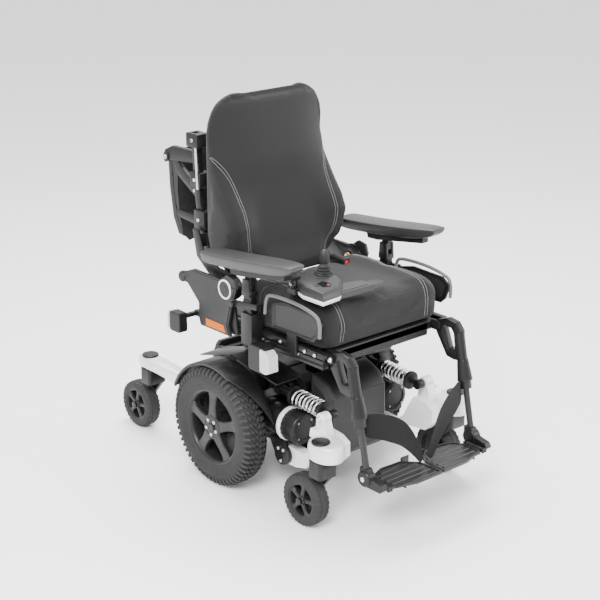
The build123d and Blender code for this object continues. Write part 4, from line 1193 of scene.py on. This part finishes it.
def leg_strap(hand, side):
    """Wide calf strap that sags from the leg tube to the footplate's inner corner."""
    rings = []
    for index, (upper, lower) in enumerate(STRAP_EDGES):
        sag = 5 * math.sin(math.pi * index / (len(STRAP_EDGES) - 1))
        ring = []
        for across in (0, 0.08, 0.5, 0.92, 1):
            x, y, z = [high + (low - high) * across for high, low in zip(upper, lower)]
            ring.append((x, y + sag * math.sin(math.pi * across), z))
        rings.append(ring + [(x, y - 2.4, z) for x, y, z in reversed(ring)])
    strap = add(hand + "_calf_strap", loft(rings), None, "webbing", side, levels=2,
                stands_for=[hand + "_leg_strap"])
    evaluated(strap)
    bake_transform(strap)


def leg_trim(hand, side):
    """Telescopic tube with its foot knuckle, and the bolts of the leg support."""
    def leg_y(z):
        return -483 - (474 - z) * 0.206
    tube_shape = tube([(204, leg_y(404), 404), (204, leg_y(178), 178)], 9, 24)
    casting = prism([(-522, 214), (-550, 212), (-560, 192), (-602, 184), (-611, 171), (-600, 161),
                     (-544, 161), (-522, 178)], "x", 192, 214)
    add(hand + "_leg_stem", tube_shape, hand + "_leg_tube", "leg_metal", side,
        stands_for=[hand + "_leg_tube"])
    disc = [(190, 0), (190, 20), (193, 23), (216, 23), (220, 20), (220, 0)]
    pins = [block(175, 193, -612, -604, 161, 175), block(175, 193, -544, -536, 161, 175),
            lathe([(-612, 4), (-536, 4)], (FLIP_X, 0, FLIP_Z), (0, 1, 0), 20)]
    knuckle = join(casting, lathe(disc, (0, FOOT_Y, FOOT_Z), (1, 0, 0), 48), *pins)
    add(hand + "_leg_knuckle", knuckle, hand + "_leg_tube", "black_steel", side, bevel=2.0)
    knee = [(220, 0), (220, 8.5), (224, 8), (225.5, 6), (225.5, 0)]
    add(hand + "_knee_bolt", lathe(knee, (0, -412, 486), (1, 0, 0), 6), "seat", "actuator_metal", side,
        bevel=0.6)
    socket_screws(hand + "_sleeve_screw", hand + "_hanger", [(218, -504, 376)], (1, 0, 0), 4.2, 4, side)
    foot = [(220, FOOT_Y, FOOT_Z)]
    socket_screws(hand + "_foot_screw", hand + "_leg_tube", foot, (1, 0, 0), 7, 3, side)


# ---- seat ----------------------------------------------------------------------------------

SIDE_COVER = [(201, 589), (162, 602), (132, 614), (10, 613), (-20, 634), (-52, 628), (-62, 600), (-42, 552),
              (-22, 482), (-32, 452), (105, 451), (113, 474), (112, 518), (163, 564), (198, 567)]
RECLINE_Y = -12.0
RECLINE_Z = 589.0


def side_cover(hand, side):
    plate = prism(SIDE_COVER, "x", 246, 256)
    add(hand + "_side_cover", plate, "seat", "side_plastic", side, bevel=2.4,
        stands_for=["side_covers"])
    crest = prism([(150, 600), (132, 608), (14, 607), (-4, 590), (20, 586), (140, 586)], "x", 255, 257.5)
    flange = prism([(-56, 600), (-36, 552), (-17, 484), (-26, 456), (-10, 456), (-4, 482), (-22, 556),
                    (-40, 604)], "x", 255, 258)
    add(hand + "_cover_relief", join(crest, flange), "seat", "side_plastic", side, bevel=1.6)
    centre = (0, RECLINE_Y, RECLINE_Z)
    ring = [(255, 29), (258.4, 28.4), (259.4, 26.6), (258.8, 24), (255, 23.4)]
    add(hand + "_cover_ring", lathe(ring, centre, (1, 0, 0), 64, closed=True), "seat", "white_ring", side)
    disc = [(255, 23), (257.6, 22.6), (257.6, 9), (258.6, 8), (258.6, 0)]
    add(hand + "_cover_centre", lathe(disc, centre, (1, 0, 0), 48), "seat", "gloss_plastic", side)
    amber = prism([(76, 480), (-4, 480), (-14, 460), (76, 458)], "x", 255, 258.6)
    add(hand + "_cover_reflector", amber, "seat", "orange_lens", side, bevel=0.8)
    knob = [(243.5, 12), (246, 16), (256, 16), (259, 13.5), (259.5, 0)]
    add(hand + "_cover_knob", lathe(knob, (0, 188, 578), (1, 0, 0), 40), "seat", "black_plastic", side)


GUARD = [(-202, 530), (-202, 598), (-260, 612), (-376, 608), (-404, 588), (-392, 548), (-372, 530)]


def side_guard(hand, side):
    """Clothing guard: a dark frame round a paler panel, with its loop bar."""
    inner = inset_profile(GUARD, 15)
    rows = ((238.6, GUARD), (246, GUARD), (247, inset_profile(GUARD, 6)), (244, inner), (238.6, inner))
    frame_shape = across_chair(rows, closed=True)
    foot = block(235, 243, -300, -262, 470, 540)
    add(hand + "_guard_frame", join(frame_shape, foot), "seat", "black_plastic", side, bevel=2.0,
        stands_for=["side_guards"])
    panel = prism(inset_profile(GUARD, 13), "x", 239.4, 243.6)
    add(hand + "_guard_panel", panel, "seat", "side_plastic", side, bevel=1.0)
    loop = curve_through([(249, -178, 560), (249, -184, 600), (249, -206, 619), (249, -300, 622),
                          (249, -380, 610), (249, -400, 588), (249, -401, 550)], 8)
    add(hand + "_guard_loop", tube(loop, 5, 14), "seat", "light_guard", side)


def rail_trim(hand, side):
    hexagon = [(234.5, 0), (234.5, 4), (237.6, 4), (238.2, 0)]
    bolts = [cap_screw((238.6, y, 491), (1, 0, 0), 5, 2.6) for y in (-370, -330, -230, -90, 20, 90)]
    bolts += [lathe(hexagon, (0, y, 474), (1, 0, 0), 6) for y in (-300, -150, 60)]
    add(hand + "_rail_bolts", join(*bolts), "seat", "actuator_metal", side)
    recline = [(242, 0), (242, 9), (244.8, 8.4), (245.4, 6), (245.4, 0)]
    add(hand + "_recline_bolt", lathe(recline, (0, RECLINE_Y, RECLINE_Z), (-1, 0, 0), 6), "seat", "brass",
        side)


def inner_bolt(hand, side):
    """Bright bolt in the middle of the recline disc, on the sitter's side."""
    bolt = [(0, 12), (2.5, 11), (4, 7), (4, 0)]
    add(hand + "_disc_bolt", lathe(bolt, (214, RECLINE_Y, RECLINE_Z), (-1, 0, 0), 24), "seat", "brass", side)


def mirrored(shape, side):
    return [Vector((side * vert.x, vert.y, vert.z)) for vert in shape[0]], shape[1]


def both_sides(*shapes):
    """Shapes drawn on the left, there and mirrored to the right, as one."""
    return join(*[mirrored(shape, side) for _, side in SIDES for shape in shapes])


def lamp_bodies():
    """Black lamp bodies with the brackets that hold them."""
    front = prism([(-172, 417), (-172, 482), (-180, 487), (-238, 487), (-246, 482), (-246, 417),
                   (-238, 412), (-180, 412)], "x", 270, 306)
    rear = prism([(150, 424), (150, 476), (156, 480), (194, 480), (200, 476), (200, 426), (194, 420),
                  (156, 420)], "x", 268, 298)
    brackets = [block(235, 272, -200, -178, 462, 476), block(232, 270, 150, 166, 462, 474),
                block(217, 233, 128, 166, 458, 476)]
    bodies = both_sides(front, rear, *brackets)
    add("lamp_bodies", bodies, "seat", "black_plastic", bevel=3.0, stands_for=["lamp_housings"])


def lamp_trim():
    """Bright reflectors inside the front lamps, and the clear lenses of all four."""
    bowl = [(0, 3), (-1, 4), (-8, 8.5), (-13, 9.8), (-13, 9), (-7, 7.4), (0, 2)]
    bowls = [lathe(bowl, (288, -234, z), (0, 1, 0), 24, closed=True) for z in (440, 461)]
    add("lamp_bowls", both_sides(*bowls), "seat", "reflector")
    front = prism([(-226, 420), (-226, 484), (-250, 482), (-264, 470), (-266, 424), (-250, 417)],
                  "x", 276, 311)
    rear = block(270, 296, 199, 211.5, 425, 476)
    add("lamp_clear_lenses", both_sides(front, rear), "seat", "lamp_lens", bevel=2.5,
        stands_for=["lamp_lenses"])


def seat_front_panel():
    """Folded plate across the front of the seat pan."""
    plate = prism([(-392, 456), (-395, 459), (-395, 498), (-391, 499), (-391, 460), (-376, 460),
                   (-376, 456)], "x", -166, 166)
    add("seat_front_panel", plate, "seat", "black_plastic", bevel=1.0)


def belt():
    """Webbing that lies over the rear of the seat."""
    shapes = []
    for side, reach in ((1, 118), (-1, 120)):
        rings = []
        for index in range(13):
            t = index / 12
            x = side * (200 + (reach - 200) * t)
            y = -84 - 6 * t
            z = 607.4 + 3.5 * math.sin(math.pi * t) + 1.5 * math.sin(5 * math.pi * t)
            rings.append([(x, y - 23, z), (x, y - 21, z + 1.1), (x, y + 21, z + 1.1), (x, y + 23, z),
                          (x, y + 21, z - 1.1), (x, y - 21, z - 1.1)])
        shapes.append(loft(rings))
    add("seat_belt_webbing", join(*shapes), "seat", "webbing", levels=2, stands_for=["seat_belt"])


# ---- back ----------------------------------------------------------------------------------

MODULE_PROFILE = [(306, 924), (346, 916), (357, 880), (353, 800), (339, 712), (310, 662), (284, 656)]
MODULE_HALF = 176.0


def module_depth(z):
    """How far back the rear cover stands at a height."""
    return along_table(sorted((z, y) for y, z in MODULE_PROFILE), z)


def module_segment(low, high, lift):
    """One bowed, overlapping segment of the rear cover."""
    columns = [MODULE_HALF * math.sin(math.pi / 2 * step / 10) for step in range(-10, 11)]
    rows = [low + (high - low) * step / 8 for step in range(9)]
    outer = []
    for z in rows:
        row = []
        for x in columns:
            drop = 26 * (abs(x) / MODULE_HALF) ** 4
            row.append(Vector((x, module_depth(z) + lift - drop, z)))
        outer.append(row)
    verts = [point for row in outer for point in row]
    verts += [point - Vector((0, 4.5, 0)) for row in outer for point in row]
    width, height = len(columns), len(rows)
    count = width * height
    faces = []
    for r in range(height - 1):
        for c in range(width - 1):
            a, b = r * width + c, (r + 1) * width + c
            faces.append((a, a + 1, b + 1, b))
            faces.append((a + count, b + count, b + 1 + count, a + 1 + count))
    rim = list(range(width))
    rim += [r * width + width - 1 for r in range(1, height)]
    rim += [(height - 1) * width + c for c in range(width - 2, -1, -1)]
    rim += [r * width for r in range(height - 2, 0, -1)]
    for first, second in zip(rim, rim[1:] + rim[:1]):
        faces.append((first, second, second + count, first + count))
    return verts, faces


def rear_module():
    shapes = [module_segment(656, 752, -2), module_segment(740, 848, 0), module_segment(836, 922, 2)]
    for side in (1, -1):
        cheek = prism([(280, 662), (306, 666), (330, 712), (344, 800), (348, 878), (336, 914), (300, 920),
                       (302, 880), (306, 800), (296, 716)], "x", side * 172, side * 176)
        shapes.append(cheek)
    add("rear_module_shell", join(*shapes), "back", "side_plastic", bevel=1.4, stands_for=["rear_module"])
    places = [(x, module_depth(z) - 12, z) for x in (-150, 150) for z in (700, 792, 880)]
    socket_screws("rear_module_screws", "back", places, (0, 1, 0), 4.5, 3)


def back_trim(hand, side):
    """Bright slide rod, and the bolts of the shear slide and the rear cover's arms."""
    rod = tube([(204, 170.5, 832), (202, 179.5, 956)], 4.6, 16)
    add(hand + "_slide_rod", rod, "back", "spring_steel", side)
    heads = ((206, 190, 972, 5.5), (206, 182, 858, 5.5), (206, 168, 742, 5.5), (195, 334, 898, 7),
             (190, 204, 820, 5))
    bolts = [cap_screw((x, y, z), (1, 0, 0), radius, 4) for x, y, z, radius in heads]
    add(hand + "_back_bolts", join(*bolts), "back", "actuator_metal", side)


# ---- assembly ------------------------------------------------------------------------------

KEPT = {
    "chassis_frame": ("black_steel", 1.2), "batteries": ("battery_case", 1.5),
    "fenders": ("black_plastic", 1.2), "drive_motors": ("black_plastic", 2.0),
    "arm_brackets": ("black_steel", 0.8), "tilt_actuator_body": ("black_plastic", 1.2),
    "tilt_actuator_rod": ("actuator_metal", 0.8), "seat_frame": ("black_steel", 0.9),
    "belt_buckle": ("black_plastic", 1.4), "buckle_button": ("red_button", 1.0),
    "back_frame": ("black_steel", 1.0), "back_shell": ("black_plastic", 1.2),
    "gimbal_ring": ("actuator_metal", 0.4), "speed_paddle": ("pod_plastic", 1.2),
}
KEPT_BOTH = {
    "front_fork": ("black_steel", 1.4), "rear_fork": ("black_steel", 1.4),
    "shock_body": ("black_plastic", 0.8), "shock_rod": ("black_plastic", 0.8),
    "arm_post": ("black_steel", 1.0), "hanger": ("black_steel", 2.2),
}
PAIRED = (shock_spring, shock_trim, motor_trim, arm_trim, front_arm, rear_arm, arm_pad, footplate,
          leg_strap, leg_trim, side_cover, side_guard, rail_trim, inner_bolt, back_trim)
SINGLE = (base_covers, back_cushion, seat_cushion, joystick_pod, joystick_knob, lamp_bodies, lamp_trim,
          seat_front_panel, belt, rear_module)


def build():
    for node, (look, bevel) in KEPT.items():
        keep(node, look, bevel)
    for hand, side in SIDES:
        for node, (look, bevel) in KEPT_BOTH.items():
            keep(f"{hand}_{node}", look, bevel)
        drive_tyre(hand, side)
        drive_rim(hand, side)
        for end in ("front", "rear"):
            caster_wheel(end, hand, side)
        for make in PAIRED:
            make(hand, side)
    for make in SINGLE:
        make()


place_camera()
joystick_cable()
studio()
build()
